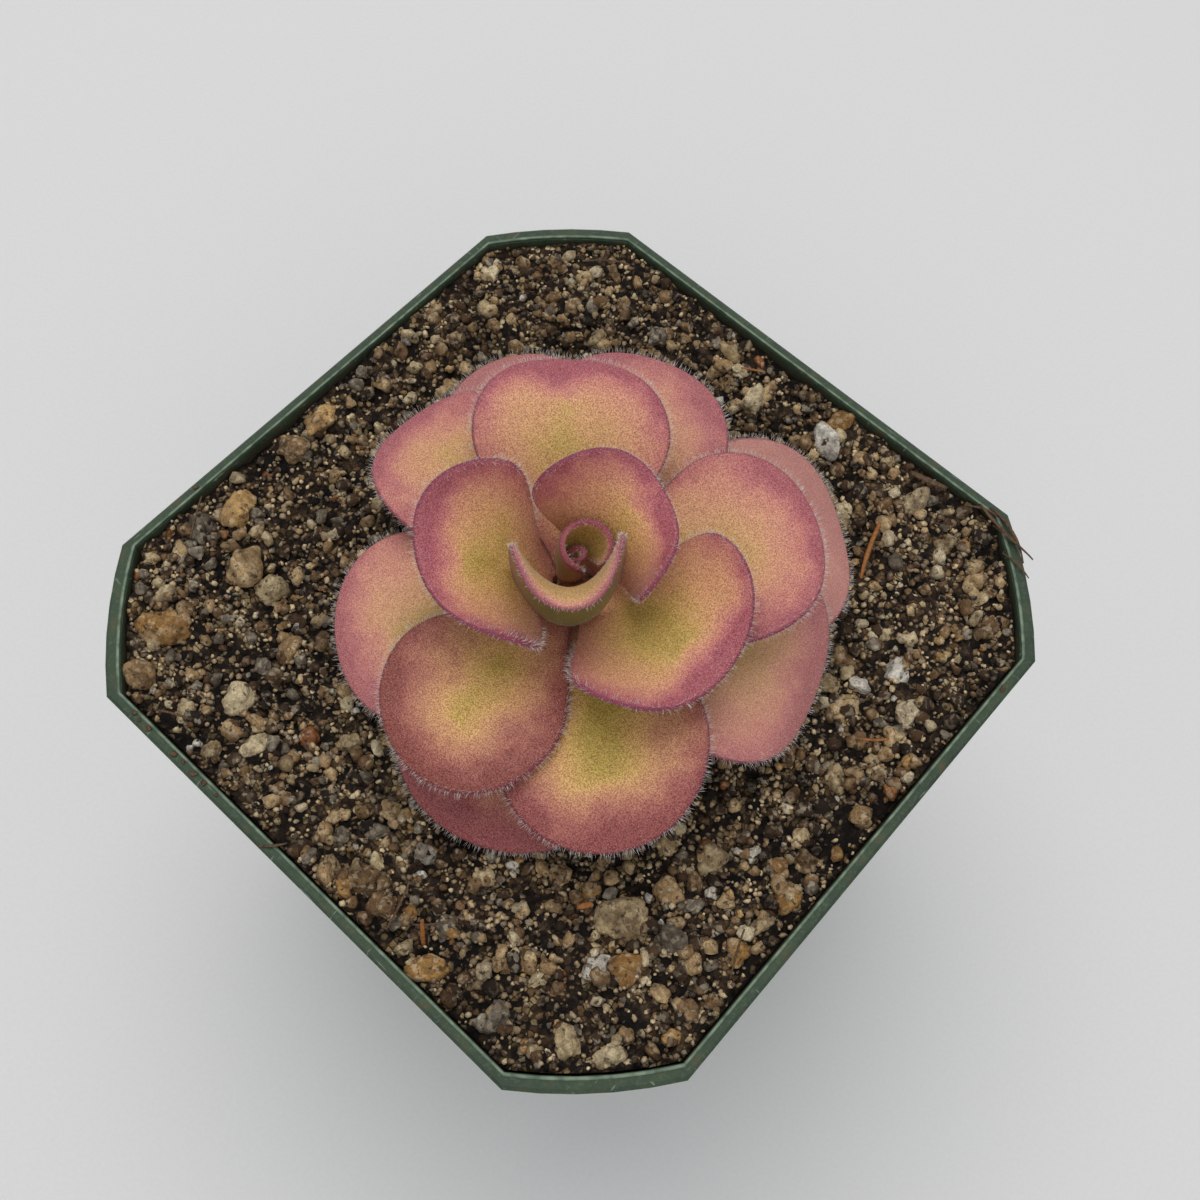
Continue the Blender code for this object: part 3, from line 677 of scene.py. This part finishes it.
def wall_distance(x, y):
    """How far a point is inside the pot's wall, level with the top of the mix."""
    half = RIM_ACROSS / 2 - RIM_TOP_WIDTH - WALL_GAP
    corner = (2 * half - RIM_CUT * 0.97 + CORNER_BOW) / math.sqrt(2)
    diagonal = (np.abs(x) + np.abs(y)) / math.sqrt(2)
    return np.minimum(half - np.maximum(np.abs(x), np.abs(y)), corner - diagonal)


def mix_relief(x, y):
    """Swells, clods, grit and crumbs on top of the mix."""
    relief = wave(x, y, *SWELLS, 1.3) + wave(x, y, *GRIT, 5.1) + wave(x, y, *LUMPS, 9.7)
    relief += wave(x, y, *CRUMBS, 3.3)
    size, per_metre = CLODS
    near = noise.voronoi(Vector((x * per_metre, y * per_metre, 2.0)))[0]
    return relief + size * (min(near[1] - near[0], 0.5) - 0.3)


def mix_height(x, y):
    """Height of the mix: a low mound, banked up to the walls, with its relief."""
    mound = MOUND_HEIGHT * math.exp(-(x * x + y * y) / MOUND_RADIUS**2)
    climb = (math.hypot(x, y) - BANK_REACH[0]) / (BANK_REACH[1] - BANK_REACH[0])
    climb = min(max(climb, 0.0), 1.0)
    bank = BANK_HEIGHT * climb * climb * (3 - 2 * climb)
    bank += WALL_RISE[0] * max(0.0, 1 - wall_distance(x, y) / WALL_RISE[1])
    return POT_HEIGHT - SOIL_BELOW_RIM + mound + bank + mix_relief(x, y)


def make_soil(finish):
    """The whole body of the mix, from the pot's floor to its crumbly top."""
    inner_rim = RIM_ACROSS - 2 * RIM_TOP_WIDTH
    ledge_top = POT_HEIGHT - LIP_HEIGHT + LEDGE_RISE
    ledge_foot = ledge_top - LEDGE_SLOPE
    level = POT_HEIGHT - SOIL_BELOW_RIM
    lip_across = inner_rim - LIP_DRAFT
    profile = (
        (RECESS_ACROSS + 1 * MM + 2 * SEAT, FLOOR + RECESS_HEIGHT + SEAT),
        (RECESS_ACROSS + 3 * MM + 2 * SEAT, FLOOR + SEAT),
        (wall_across(FLOOR) - 2 * WALL - 2 * SEAT, FLOOR + SEAT),
        (wall_across(ledge_foot) - 2 * WALL - 2 * SEAT, ledge_foot + SEAT),
        (lip_across - 2 * SEAT, ledge_top + SEAT),
    )
    rings = [level_ring(octagon(across, *SOIL_STEPS), height) for across, height in profile]
    edge = octagon(inner_rim - EDGE_INSET, *SOIL_STEPS)
    raised = [np.ones(len(edge))] * (len(rings) + 1)
    hole = unit(edge) * HOLE_RADIUS
    for step in range(SOIL_RINGS + 1):
        share = (step / SOIL_RINGS) ** 0.85
        flat = edge + (hole - edge) * share
        rings.append(np.array([(x, y, mix_height(x, y)) for x, y in flat.tolist()]))
        relief = np.array([mix_relief(x, y) for x, y in flat.tolist()])
        # How far each point stands above the pits; the material paints shade into the low ones
        raised.append(np.clip(np.interp(relief, PIT_SHADE_RELIEF, (0, 1)), 0, 1))
    for height in (level, level - STEM_DEPTH - SEAT):
        rings.append(level_ring(hole, height))
    rings.insert(0, np.array([(0.0, 0.0, rings[0][0, 2])] * len(edge)))
    rings.append(np.array([(0.0, 0.0, rings[-1][0, 2])] * len(edge)))
    raised += [np.zeros(len(edge))] * 3
    values = {"raised": np.concatenate(raised)}
    faces = bridge(len(rings), len(edge))
    piece = add_piece("potting_mix", np.vstack(rings), faces, finish, values)
    merge_ends(piece)
    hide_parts("soil")
    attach(piece, "root")


def pebble_shapes(count, detail, rough, lumpiness, draw):
    """Unit pebbles: balls pushed about by soft noise, as points and shared faces."""
    shapes = []
    for _ in range(count):
        shape = bmesh.new()
        bmesh.ops.create_icosphere(shape, subdivisions=detail, radius=0.5)
        offset = Vector(draw.uniform(-50, 50, 3).tolist())
        stretch = draw.uniform(0.62, 1.15, 3)
        points = []
        for vert in shape.verts:
            swell = 1 + lumpiness * noise.noise(vert.co * 2.2 + offset)
            swell += rough * noise.noise(vert.co * 7.0 + offset)
            swell += rough * 0.7 * noise.noise(vert.co * 19.0 + offset)
            points.append([vert.co[i] * swell * stretch[i] for i in range(3)])
        faces = [[vert.index for vert in face.verts] for face in shape.faces]
        shape.free()
        shapes.append((np.array(points), np.array(faces)))
    return shapes


def random_turns(count, draw):
    """Random rotation matrices."""
    a = unit(draw.normal(size=(count, 3)))
    b = unit(np.cross(a, draw.normal(size=(count, 3))))
    return np.stack([a, b, np.cross(a, b)], axis=1)


def add_grains(name, spots, across, shapes, finish, draw):
    """Turned and sized copies of a few shapes, joined in one mesh. Each has its own tint."""
    count = len(spots)
    turns = random_turns(count, draw)
    pick = draw.integers(len(shapes), size=count)
    tint = draw.uniform(0, 1, count)
    points, faces, tints = [], [], []
    start = 0
    for index in range(count):
        shape, shape_faces = shapes[pick[index]]
        points.append(shape @ turns[index] * across[index] + spots[index])
        faces.append(shape_faces + start)
        tints.append(np.full(len(shape), tint[index]))
        start += len(shape)
    values = {"tint": np.concatenate(tints)}
    piece = add_piece(name, np.vstack(points), np.vstack(faces), finish, values)
    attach(piece, "root")


def add_flash(finish):
    """The thin line of flash along the inner edge of the rim."""
    inner = RIM_ACROSS - 2 * RIM_TOP_WIDTH
    low = POT_HEIGHT - SEAT / 2
    profile = ((inner + 0.10 * MM, low), (inner + 0.06 * MM, POT_HEIGHT + FLASH_RISE),
               (inner + 0.10 * MM + 2 * FLASH_WIDTH, POT_HEIGHT + FLASH_RISE * 0.8),
               (inner + 0.16 * MM + 2 * FLASH_WIDTH, low))
    rings = []
    for across, height in profile + profile[:1]:
        rings.append(level_ring(octagon(across, *FLASH_STEPS), height))
    piece = add_piece("rim_flash", np.vstack(rings), bridge(len(rings), len(rings[0])), finish)
    merge_ends(piece)
    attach(piece, "root")


def add_fibres(name, fibres, finish, draw):
    """Bent tapering strands and short crumbs, lying on the mix or over the rim."""
    points, faces = [], []
    sides, steps = 6, 8
    for fibre in map(Fibre._make, fibres):
        start = np.array((fibre.x, fibre.y, RIM_LEVEL + fibre.z)) * MM
        end = np.array((fibre.x2, fibre.y2, RIM_LEVEL + fibre.z2)) * MM
        along = unit(end - start)
        side = unit(np.cross(along, (0.1, 0.2, 1.0)))
        other = np.cross(side, along)
        bow = (side * draw.uniform(-1, 1) + other * draw.uniform(0, 1)) * fibre.bow * MM
        first = len(points) * sides
        for step in range(steps + 1):
            share = step / steps
            middle = start + (end - start) * share + bow * 4 * share * (1 - share)
            taper = fibre.width / 2 * MM * (0.35 + 0.65 * math.sin(math.pi * (0.15 + 0.7 * share)))
            turn = np.arange(sides)[:, None] * math.tau / sides
            rough = taper * draw.uniform(0.85, 1.15, (sides, 1))
            flat = side * np.cos(turn) + other * np.sin(turn) * fibre.flat
            points.append(middle + flat * rough)
        for ring in range(steps):
            a, b = first + ring * sides, first + (ring + 1) * sides
            for i in range(sides):
                j = (i + 1) % sides
                faces.append((a + i, a + j, b + j, b + i))
        last = first + steps * sides
        faces += [(first, first + 3, first + 2, first + 1), (first, first + 5, first + 4, first + 3)]
        faces += [(last, last + 1, last + 2, last + 3), (last, last + 3, last + 4, last + 5)]
    piece = add_piece(name, np.vstack(points), faces, finish)
    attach(piece, "root")


class Ceiling:
    """The lowest height of the leaves over each square millimetre, so that grains stay below."""

    def __init__(self, leaf_pieces):
        self.cells = np.full((100, 100), 1.0)
        for piece in leaf_pieces:
            points = triangles(piece.data)[1]
            i, j = self.cell(points[:, 0], points[:, 1])
            np.minimum.at(self.cells, (i, j), points[:, 2])
        spread = self.cells.copy()
        for di in (-1, 0, 1):
            for dj in (-1, 0, 1):
                spread = np.minimum(spread, np.roll(self.cells, (di, dj), (0, 1)))
        self.cells = spread

    def cell(self, x, y):
        return (np.clip((np.asarray(v) / MM + 50).astype(int), 0, 99) for v in (x, y))

    def over(self, x, y):
        i, j = self.cell(x, y)
        return self.cells[i, j]


def scatter_spots(count, sizes, ceiling, draw, layer):
    """Random clumped places for grains on the mix, off the wall and under no low leaf."""
    spots, across = [], []
    while len(spots) < count:
        x, y = draw.uniform(-SCATTER_REACH, SCATTER_REACH, 2)
        size = (sizes[0] + (sizes[1] - sizes[0]) * draw.uniform() ** 1.6) * MM
        if wall_distance(x, y) < 0.55 * size or math.hypot(x, y) < BARE_RADIUS:
            continue
        crowd = 0.5 + 1.1 * noise.noise(Vector((x * CLUMPS, y * CLUMPS, layer)))
        if draw.uniform() > crowd + 0.25:
            continue
        height = mix_height(x, y) + GRAIN_STAND * size
        if height + 0.6 * size > ceiling.over(x, y) - LEAF_GAP:
            continue
        spots.append((x, y, height))
        across.append(size)
    return np.array(spots), np.array(across)


def make_grains(finishes, ceiling):
    draw = np.random.default_rng(SOIL_SEED)
    sand_shapes = pebble_shapes(12, 1, 0.0, 0.5, draw)
    crumb_shapes = pebble_shapes(14, 2, 0.16, 0.7, draw)
    lump_shapes = pebble_shapes(12, 3, 0.12, 0.5, draw)
    large_shapes = pebble_shapes(12, 4, 0.10, 0.55, draw)
    for layer, (kind, count, sizes) in enumerate(SCATTER):
        shapes = sand_shapes if kind == "sand" else crumb_shapes
        spots, across = scatter_spots(count, sizes, ceiling, draw, 7 * layer)
        add_grains(f"grains_{kind}", spots, across, shapes, finishes[kind], draw)
    for kind, pebbles in PEBBLES.items():
        spots, across = [], []
        for x, y, size in pebbles:
            x, y, size = x * MM, y * MM, size * MM
            short = max(0.0, 0.52 * size - wall_distance(x, y)) * 1.5 / math.hypot(x, y)
            x, y = x * (1 - short), y * (1 - short)
            height = min(mix_height(x, y), ceiling.over(x, y) - 0.6 * size)
            spots.append((x, y, height))
            across.append(size)
        shapes = large_shapes if kind != "orange" else lump_shapes
        add_grains(f"pebbles_{kind}", np.array(spots), np.array(across), shapes,
                   finishes[kind], draw)


# Materials


def leaf_material():
    """Stippled flesh: olive at the heart, peach further out, pink to purple at the edge."""
    n = Nodes("leaf_flesh")
    rim, along = n.attribute("rim"), n.attribute("along")
    under, blush, pale = n.attribute("under"), n.attribute("blush"), n.attribute("pale")
    patch = n.noise(150, detail=3)
    cloud = n.noise(420, detail=3)
    inward = n.math("MULTIPLY", rim, n.span(blush, 0.0, 1.0, 1.35, 0.55))
    inward = n.math("MULTIPLY", inward, n.span(blush, -1.0, 0.0, 6.0, 1.0))
    inward = n.math("ADD", inward, n.span(patch, 0.3, 0.7, -1.7, 1.7))
    inward = n.math("ADD", inward, n.span(cloud, 0.3, 0.7, -0.6, 0.6))
    inward = n.math("ADD", inward, n.span(along, 0.30, 0.95, 2.4, -1.4))
    inward = n.math("ADD", inward, n.span(blush, -1.0, 0.0, 1.6, 0.0))
    upper = n.ramp(n.span(inward, 0.0, 12.0), (
        (0.00, (156, 68, 88)), (0.10, (180, 98, 104)), (0.24, (200, 130, 112)),
        (0.42, (208, 150, 112)), (0.64, (206, 158, 102)), (0.86, (192, 158, 80)),
        (1.00, (176, 150, 64)),
    ))
    faded = n.mix(0.65, upper, srgb(198, 148, 134))
    upper = n.mix(pale, upper, faded)
    russet = n.math("MULTIPLY", n.span(pale, 0.0, -1.0), n.span(inward, 0.5, 8.0, 1.0, 0.0))
    upper = n.mix(russet, upper, srgb(122, 52, 42))
    stipple = n.noise(7200, detail=1, distortion=0.5)
    dots = n.span(stipple, 0.35, 0.65)
    dark = n.mix(1.0, upper, (0.70, 0.54, 0.55, 1.0), "MULTIPLY")
    light = n.mix(1.0, upper, (1.36, 1.47, 1.40, 1.0), "MULTIPLY")
    light = n.mix(0.08, light, srgb(255, 226, 196))
    speckled = n.mix(dots, dark, light)
    speckled = n.mix(n.span(pale, 0.0, 1.0, 1.0, 0.45), upper, speckled)
    line = n.span(rim, 0.02, 0.24, 0.7, 0.0)
    line = n.math("MULTIPLY", line, n.span(blush, -1.0, 0.0, 0.6, 1.0))
    topside = n.mix(line, speckled, srgb(118, 40, 74))
    below = n.ramp(n.span(rim, 0.0, 6.0), (
        (0.0, (142, 70, 88)), (0.22, (160, 118, 82)), (0.6, (138, 122, 66)),
        (1.0, (118, 108, 54)),
    ))
    colour = n.mix(n.span(under, 0.45, 0.75), topside, below)
    skin = n.bump(stipple, 0.55, 0.12 * MM)
    waves = n.bump(cloud, 0.30, 0.5 * MM, skin)
    n.set(Base_Color=colour, Roughness=n.span(stipple, 0.3, 0.7, 0.62, 0.45), Normal=waves)
    n.set(Subsurface_Weight=0.15, Subsurface_Radius=(1.0, 0.35, 0.2), Subsurface_Scale=0.0006)
    n.set(Sheen_Weight=0.12, Sheen_Roughness=0.4, Specular_IOR_Level=0.35)
    return n.material


def hair_material():
    """Clear whitish hairs that catch the light."""
    n = Nodes("leaf_hair")
    n.set(Base_Color=srgb(238, 228, 222), Roughness=0.35, Sheen_Weight=0.2)
    return n.material


def soil_material():
    """Dark peat, brown on its crumbs, with packed grains of sand, and painted shade that turns its pits
    near black.
    """
    n = Nodes("potting_mix")
    clods = n.noise(360, detail=4, roughness=0.65)
    fine = n.noise(2600, detail=3, roughness=0.7)
    colour = n.ramp(clods, (
        (0.32, (14, 11, 9)), (0.48, (34, 26, 21)), (0.60, (78, 61, 46)),
        (0.74, (134, 110, 84)),
    ))
    colour = n.mix(n.span(fine, 0.32, 0.62, 0.7, 0.0), colour, srgb(18, 13, 11))
    grain, outline, round_top = n.grains(1350)
    stones = n.ramp(grain, (
        (0.22, (20, 15, 11)), (0.48, (76, 56, 38)), (0.68, (142, 112, 76)),
        (0.88, (206, 180, 134)), (1.00, (232, 216, 180)),
    ))
    cover = n.math("MULTIPLY", outline, n.span(n.noise(520, detail=3), 0.40, 0.56))
    colour = n.mix(cover, colour, stones)
    # Painted shade: the pits of the relief go near black.
    colour = n.mix(n.span(n.attribute("raised"), 0.0, 1.0, 0.85, 0.0), colour, srgb(14, 10, 8))
    # Broad patches of painted shade over the mix.
    colour = n.painted_shade_patches(colour)
    rough = n.bump(fine, 0.7, 0.2 * MM, n.bump(round_top, 0.9, 0.5 * MM))
    n.set(Base_Color=colour, Roughness=0.9, Specular_IOR_Level=0.25, Normal=rough)
    return n.material


def grain_material(name, dark, middle, light, rough=0.85, stain_and_shade=(60, 42, 28), pores=0.5, sheen=0.0):
    """Mineral grain: a colour of its own, pores, and peat dust in its hollows, under broad patches of
    painted shade.
    """
    n = Nodes(name)
    tint = n.attribute("tint")
    colour = n.ramp(tint, ((0.0, dark), (0.5, middle), (1.0, light)))
    patches = n.noise(900, detail=3, roughness=0.65)
    colour = n.mix(n.span(patches, 0.36, 0.60, 0.40, 0.0), colour, srgb(*stain_and_shade))
    fine = n.noise(4200, detail=2, roughness=0.7)
    colour = n.mix(n.span(fine, 0.30, 0.52, pores, 0.0), colour, srgb(*stain_and_shade), "MULTIPLY")
    grain, outline, round_top = n.grains(1900)
    colour = n.mix(n.span(grain, 0.0, 0.4, 0.6 * pores, 0.0), colour, srgb(*stain_and_shade))
    colour = n.mix(n.span(grain, 0.6, 1.0, 0.0, 0.3), colour, srgb(240, 226, 196))
    colour = n.mix(n.span(outline, 0.0, 1.0, 0.25 * pores, 0.0), colour, srgb(*stain_and_shade))
    holes = n.span(n.noise(1250, detail=2), 0.33, 0.39, 1.5 * pores, 0.0)
    # Dark pores, then broad patches of painted shade over the grain.
    colour = n.painted_shade_patches(n.mix(holes, colour, srgb(34, 25, 18)))
    grit = n.bump(fine, 0.7, 0.15 * MM, n.bump(round_top, 0.5 * pores, 0.3 * MM))
    n.set(Base_Color=colour, Roughness=rough, Specular_IOR_Level=0.35, Normal=grit)
    n.set(Sheen_Weight=sheen, Sheen_Roughness=0.3)
    return n.material


def grain_materials():
    """A material for each kind of grain, from its dark, middle and light colours."""
    return {
        "sand": grain_material("sand_grain", (46, 33, 21), (146, 113, 73), (246, 222, 174), 0.4,
                               pores=0.15, sheen=0.3),
        "peat": grain_material("peat_crumb", (22, 16, 12), (46, 34, 25), (84, 62, 42), 0.95),
        "brown": grain_material("brown_crumb", (54, 39, 26), (94, 69, 46), (138, 106, 71), 0.9),
        "tan": grain_material("tan_lump", (132, 101, 66), (176, 143, 100), (216, 186, 138)),
        "cream": grain_material("cream_lump", (174, 149, 108), (212, 191, 149), (234, 218, 184)),
        "grey": grain_material("grey_lump", (104, 95, 82), (136, 126, 110), (166, 156, 138)),
        "ochre": grain_material("ochre_lump", (160, 118, 64), (192, 148, 86), (216, 176, 116)),
        "white": grain_material("perlite", (206, 198, 182), (224, 218, 206), (236, 232, 222)),
        "orange": grain_material("orange_chip", (140, 84, 42), (172, 110, 56), (196, 140, 80), 0.5),
    }


def plastic_material():
    """Dull green moulded plastic with a pebbled skin, scratched and dusty, darkened inside just below
    the rim by soil stain and painted shade.
    """
    n = Nodes("pot_plastic")
    mottle = n.noise(260, detail=4, roughness=0.65)
    fine = n.noise(2600, detail=3, roughness=0.6)
    colour = n.ramp(mottle, (
        (0.25, (40, 55, 40)), (0.5, (52, 69, 50)), (0.78, (68, 85, 62)),
    ))
    colour = n.mix(n.span(fine, 0.52, 0.75, 0.0, 0.3), colour, srgb(104, 126, 104))
    streaks = n.noise(1.0, detail=3, place=n.stretched((2600, 260, 700)))
    cross = n.noise(1.0, detail=3, place=n.stretched((260, 2600, 700)))
    scratches = n.math("MAXIMUM", n.span(streaks, 0.68, 0.73), n.span(cross, 0.68, 0.73))
    colour = n.mix(n.math("MULTIPLY", scratches, 0.5), colour, srgb(150, 170, 150))
    dust = n.noise(520, detail=3)
    colour = n.mix(n.span(dust, 0.55, 0.72, 0.0, 0.55), colour, srgb(88, 74, 54))
    # Inner faces darken from just below the rim down to the mix: part soil stain, part painted shade
    surface = n.add("ShaderNodeNewGeometry").outputs
    facing = n.add("ShaderNodeVectorMath", {0: surface["Position"], 1: surface["Normal"]},
                   operation="DOT_PRODUCT").outputs["Value"]
    inside = n.span(facing, -8 * MM, -20 * MM)
    level = n.add("ShaderNodeSeparateXYZ", {0: surface["Position"]}).outputs["Z"]
    depth = n.span(level, POT_HEIGHT - 0.4 * MM, POT_HEIGHT - 1.6 * MM)
    depth = n.math("ADD", depth, n.span(dust, 0.35, 0.65, -0.25, 0.25))
    stain_and_shade = n.math("MULTIPLY", n.math("MULTIPLY", inside, depth), 0.92)
    colour = n.mix(stain_and_shade, colour, srgb(56, 48, 37))
    pebbled = n.bump(fine, 0.5, 0.12 * MM)
    skin = n.bump(mottle, 0.3, 0.3 * MM, pebbled)
    n.set(Base_Color=colour, Roughness=n.span(mottle, 0.3, 0.7, 0.5, 0.68), Normal=skin)
    n.set(Specular_IOR_Level=0.35)
    return n.material


def stem_material():
    """Fibrous tan rootstock, streaked along its length."""
    n = Nodes("rootstock_bark")
    strands = n.noise(1.0, detail=3, place=n.stretched((1600, 1600, 260)))
    colour = n.ramp(strands, (
        (0.3, (78, 52, 32)), (0.55, (134, 98, 62)), (0.8, (176, 142, 98)),
    ))
    n.set(Base_Color=colour, Roughness=0.85, Normal=n.bump(strands, 0.7, 0.25 * MM))
    return n.material


def fibre_material(name, dark, light):
    """A dry strand, streaked along its length."""
    n = Nodes(name)
    streaks = n.noise(2200, detail=3, roughness=0.7)
    colour = n.ramp(streaks, ((0.35, dark), (0.65, light)))
    n.set(Base_Color=colour, Roughness=0.7, Normal=n.bump(streaks, 0.6, 0.15 * MM))
    return n.material


def flash_highlight_material():
    """The paler edge that the mould left on the rim, its paleness a painted highlight."""
    n = Nodes("pot_flash_highlight")
    highlight_mottle = n.noise(700, detail=3)
    # Colours paler than the pot's plastic: a painted highlight along the rim's inner edge
    colour = n.ramp(highlight_mottle, ((0.35, (70, 92, 72)), (0.65, (122, 140, 118))))
    n.set(Base_Color=colour, Roughness=0.45)
    return n.material


def floor_material():
    """Pale seamless paper."""
    n = Nodes("floor_paper")
    grain = n.noise(1500, detail=2)
    colour = n.ramp(grain, ((0.3, (227, 227, 227)), (0.7, (230, 230, 230))))
    n.set(Base_Color=colour, Roughness=0.9, Specular_IOR_Level=0.2)
    return n.material


# Stage


def add_floor():
    half = FLOOR_HALF
    corners = [(-half, -half, 0), (half, -half, 0), (half, half, 0), (-half, half, 0)]
    floor = add_piece("floor", corners, [(0, 1, 2, 3)], floor_material(), smooth=False)
    floor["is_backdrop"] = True


def add_light(name, spot, size, power, colour):
    lamp = bpy.data.lights.new(name, "AREA")
    lamp.shape = "DISK"
    lamp.size = size
    lamp.energy = power
    lamp.color = colour
    obj = bpy.data.objects.new(name, lamp)
    obj.location = spot
    heading = Vector((0, 0, POT_HEIGHT)) - Vector(spot)
    obj.rotation_euler = heading.to_track_quat("-Z", "Y").to_euler()
    bpy.context.scene.collection.objects.link(obj)


def add_lights():
    add_light("key_light", *KEY_LIGHT)
    add_light("fill_light", *FILL_LIGHT)
    world = bpy.data.worlds.new("studio")
    world.use_nodes = True
    sky = world.node_tree.nodes["Background"]
    sky.inputs["Color"].default_value = SKY_COLOUR
    sky.inputs["Strength"].default_value = SKY_STRENGTH
    bpy.context.scene.world = world


def set_colours():
    """Plain colours on the screen, with no film look over them."""
    view = bpy.context.scene.view_settings
    view.view_transform = "Standard"
    view.look = "None"
    view.exposure = 0.0
    view.gamma = 1.0


def add_camera():
    azimuth, elevation = math.radians(CAMERA_AZIMUTH), math.radians(CAMERA_ELEVATION)
    roll = math.radians(CAMERA_ROLL)
    back = Vector((math.sin(azimuth) * math.cos(elevation),
                   -math.cos(azimuth) * math.cos(elevation), math.sin(elevation)))
    right = (-back).cross(Vector((0, 0, 1))).normalized()
    up = right.cross(-back)
    rolled_right = right * math.cos(roll) + up * math.sin(roll)
    rolled_up = up * math.cos(roll) - right * math.sin(roll)
    lens = bpy.data.cameras.new("camera")
    lens.lens = CAMERA_LENS
    lens.sensor_width = CAMERA_SENSOR
    lens.clip_start = 0.01
    camera = bpy.data.objects.new("camera", lens)
    spot = Vector(CAMERA_TARGET) + back * CAMERA_DISTANCE
    turned = Matrix((rolled_right, rolled_up, back)).transposed()
    camera.matrix_world = Matrix.Translation(spot) @ turned.to_4x4()
    bpy.context.scene.collection.objects.link(camera)
    bpy.context.scene.camera = camera


def dress_node(name, finish):
    """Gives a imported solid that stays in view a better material."""
    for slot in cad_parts[name].material_slots:
        slot.material = finish


def make_leaves():
    flesh, hair = leaf_material(), hair_material()
    pieces = []
    for number, scroll in enumerate(SCROLLS, 1):
        place = rolled_blade(scroll)
        pieces.append(make_leaf(f"leaf_blade_{number:02d}", scroll, place, flesh, number))
    for age, leaf in enumerate(LEAVES):
        number = age + 1 + len(SCROLLS)
        foot = POT_HEIGHT + LOWEST_FOOT + FOOT_RISE * (len(LEAVES) - 1 - age)
        place = bent_blade(leaf, foot)
        pieces.append(make_leaf(f"leaf_blade_{number:02d}", leaf, place, flesh, number))
    for number, piece in enumerate(pieces, 1):
        scale = YOUNG_HAIRS if number <= YOUNG_LEAVES else 1.0
        make_hairs(piece, hair, HAIR_SEED + number, scale)
    return pieces


def main():
    add_camera()
    set_colours()
    add_lights()
    add_floor()
    leaves = make_leaves()
    make_soil(soil_material())
    make_grains(grain_materials(), Ceiling(leaves))
    draw = np.random.default_rng(FIBRE_SEED)
    orange = fibre_material("orange_fibre", (122, 74, 30), (164, 104, 46))
    brown = fibre_material("brown_fibre", (58, 40, 26), (104, 76, 48))
    add_fibres("fibres_orange", ORANGE_FIBRES, orange, draw)
    add_fibres("fibres_brown", BROWN_FIBRES, brown, draw)
    add_flash(flash_highlight_material())
    dress_node("pot", plastic_material())
    dress_node("rootstock", stem_material())


main()

cad, visual = ([[float(v) for v in corner] for corner in box] for box in (cad_box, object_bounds()))
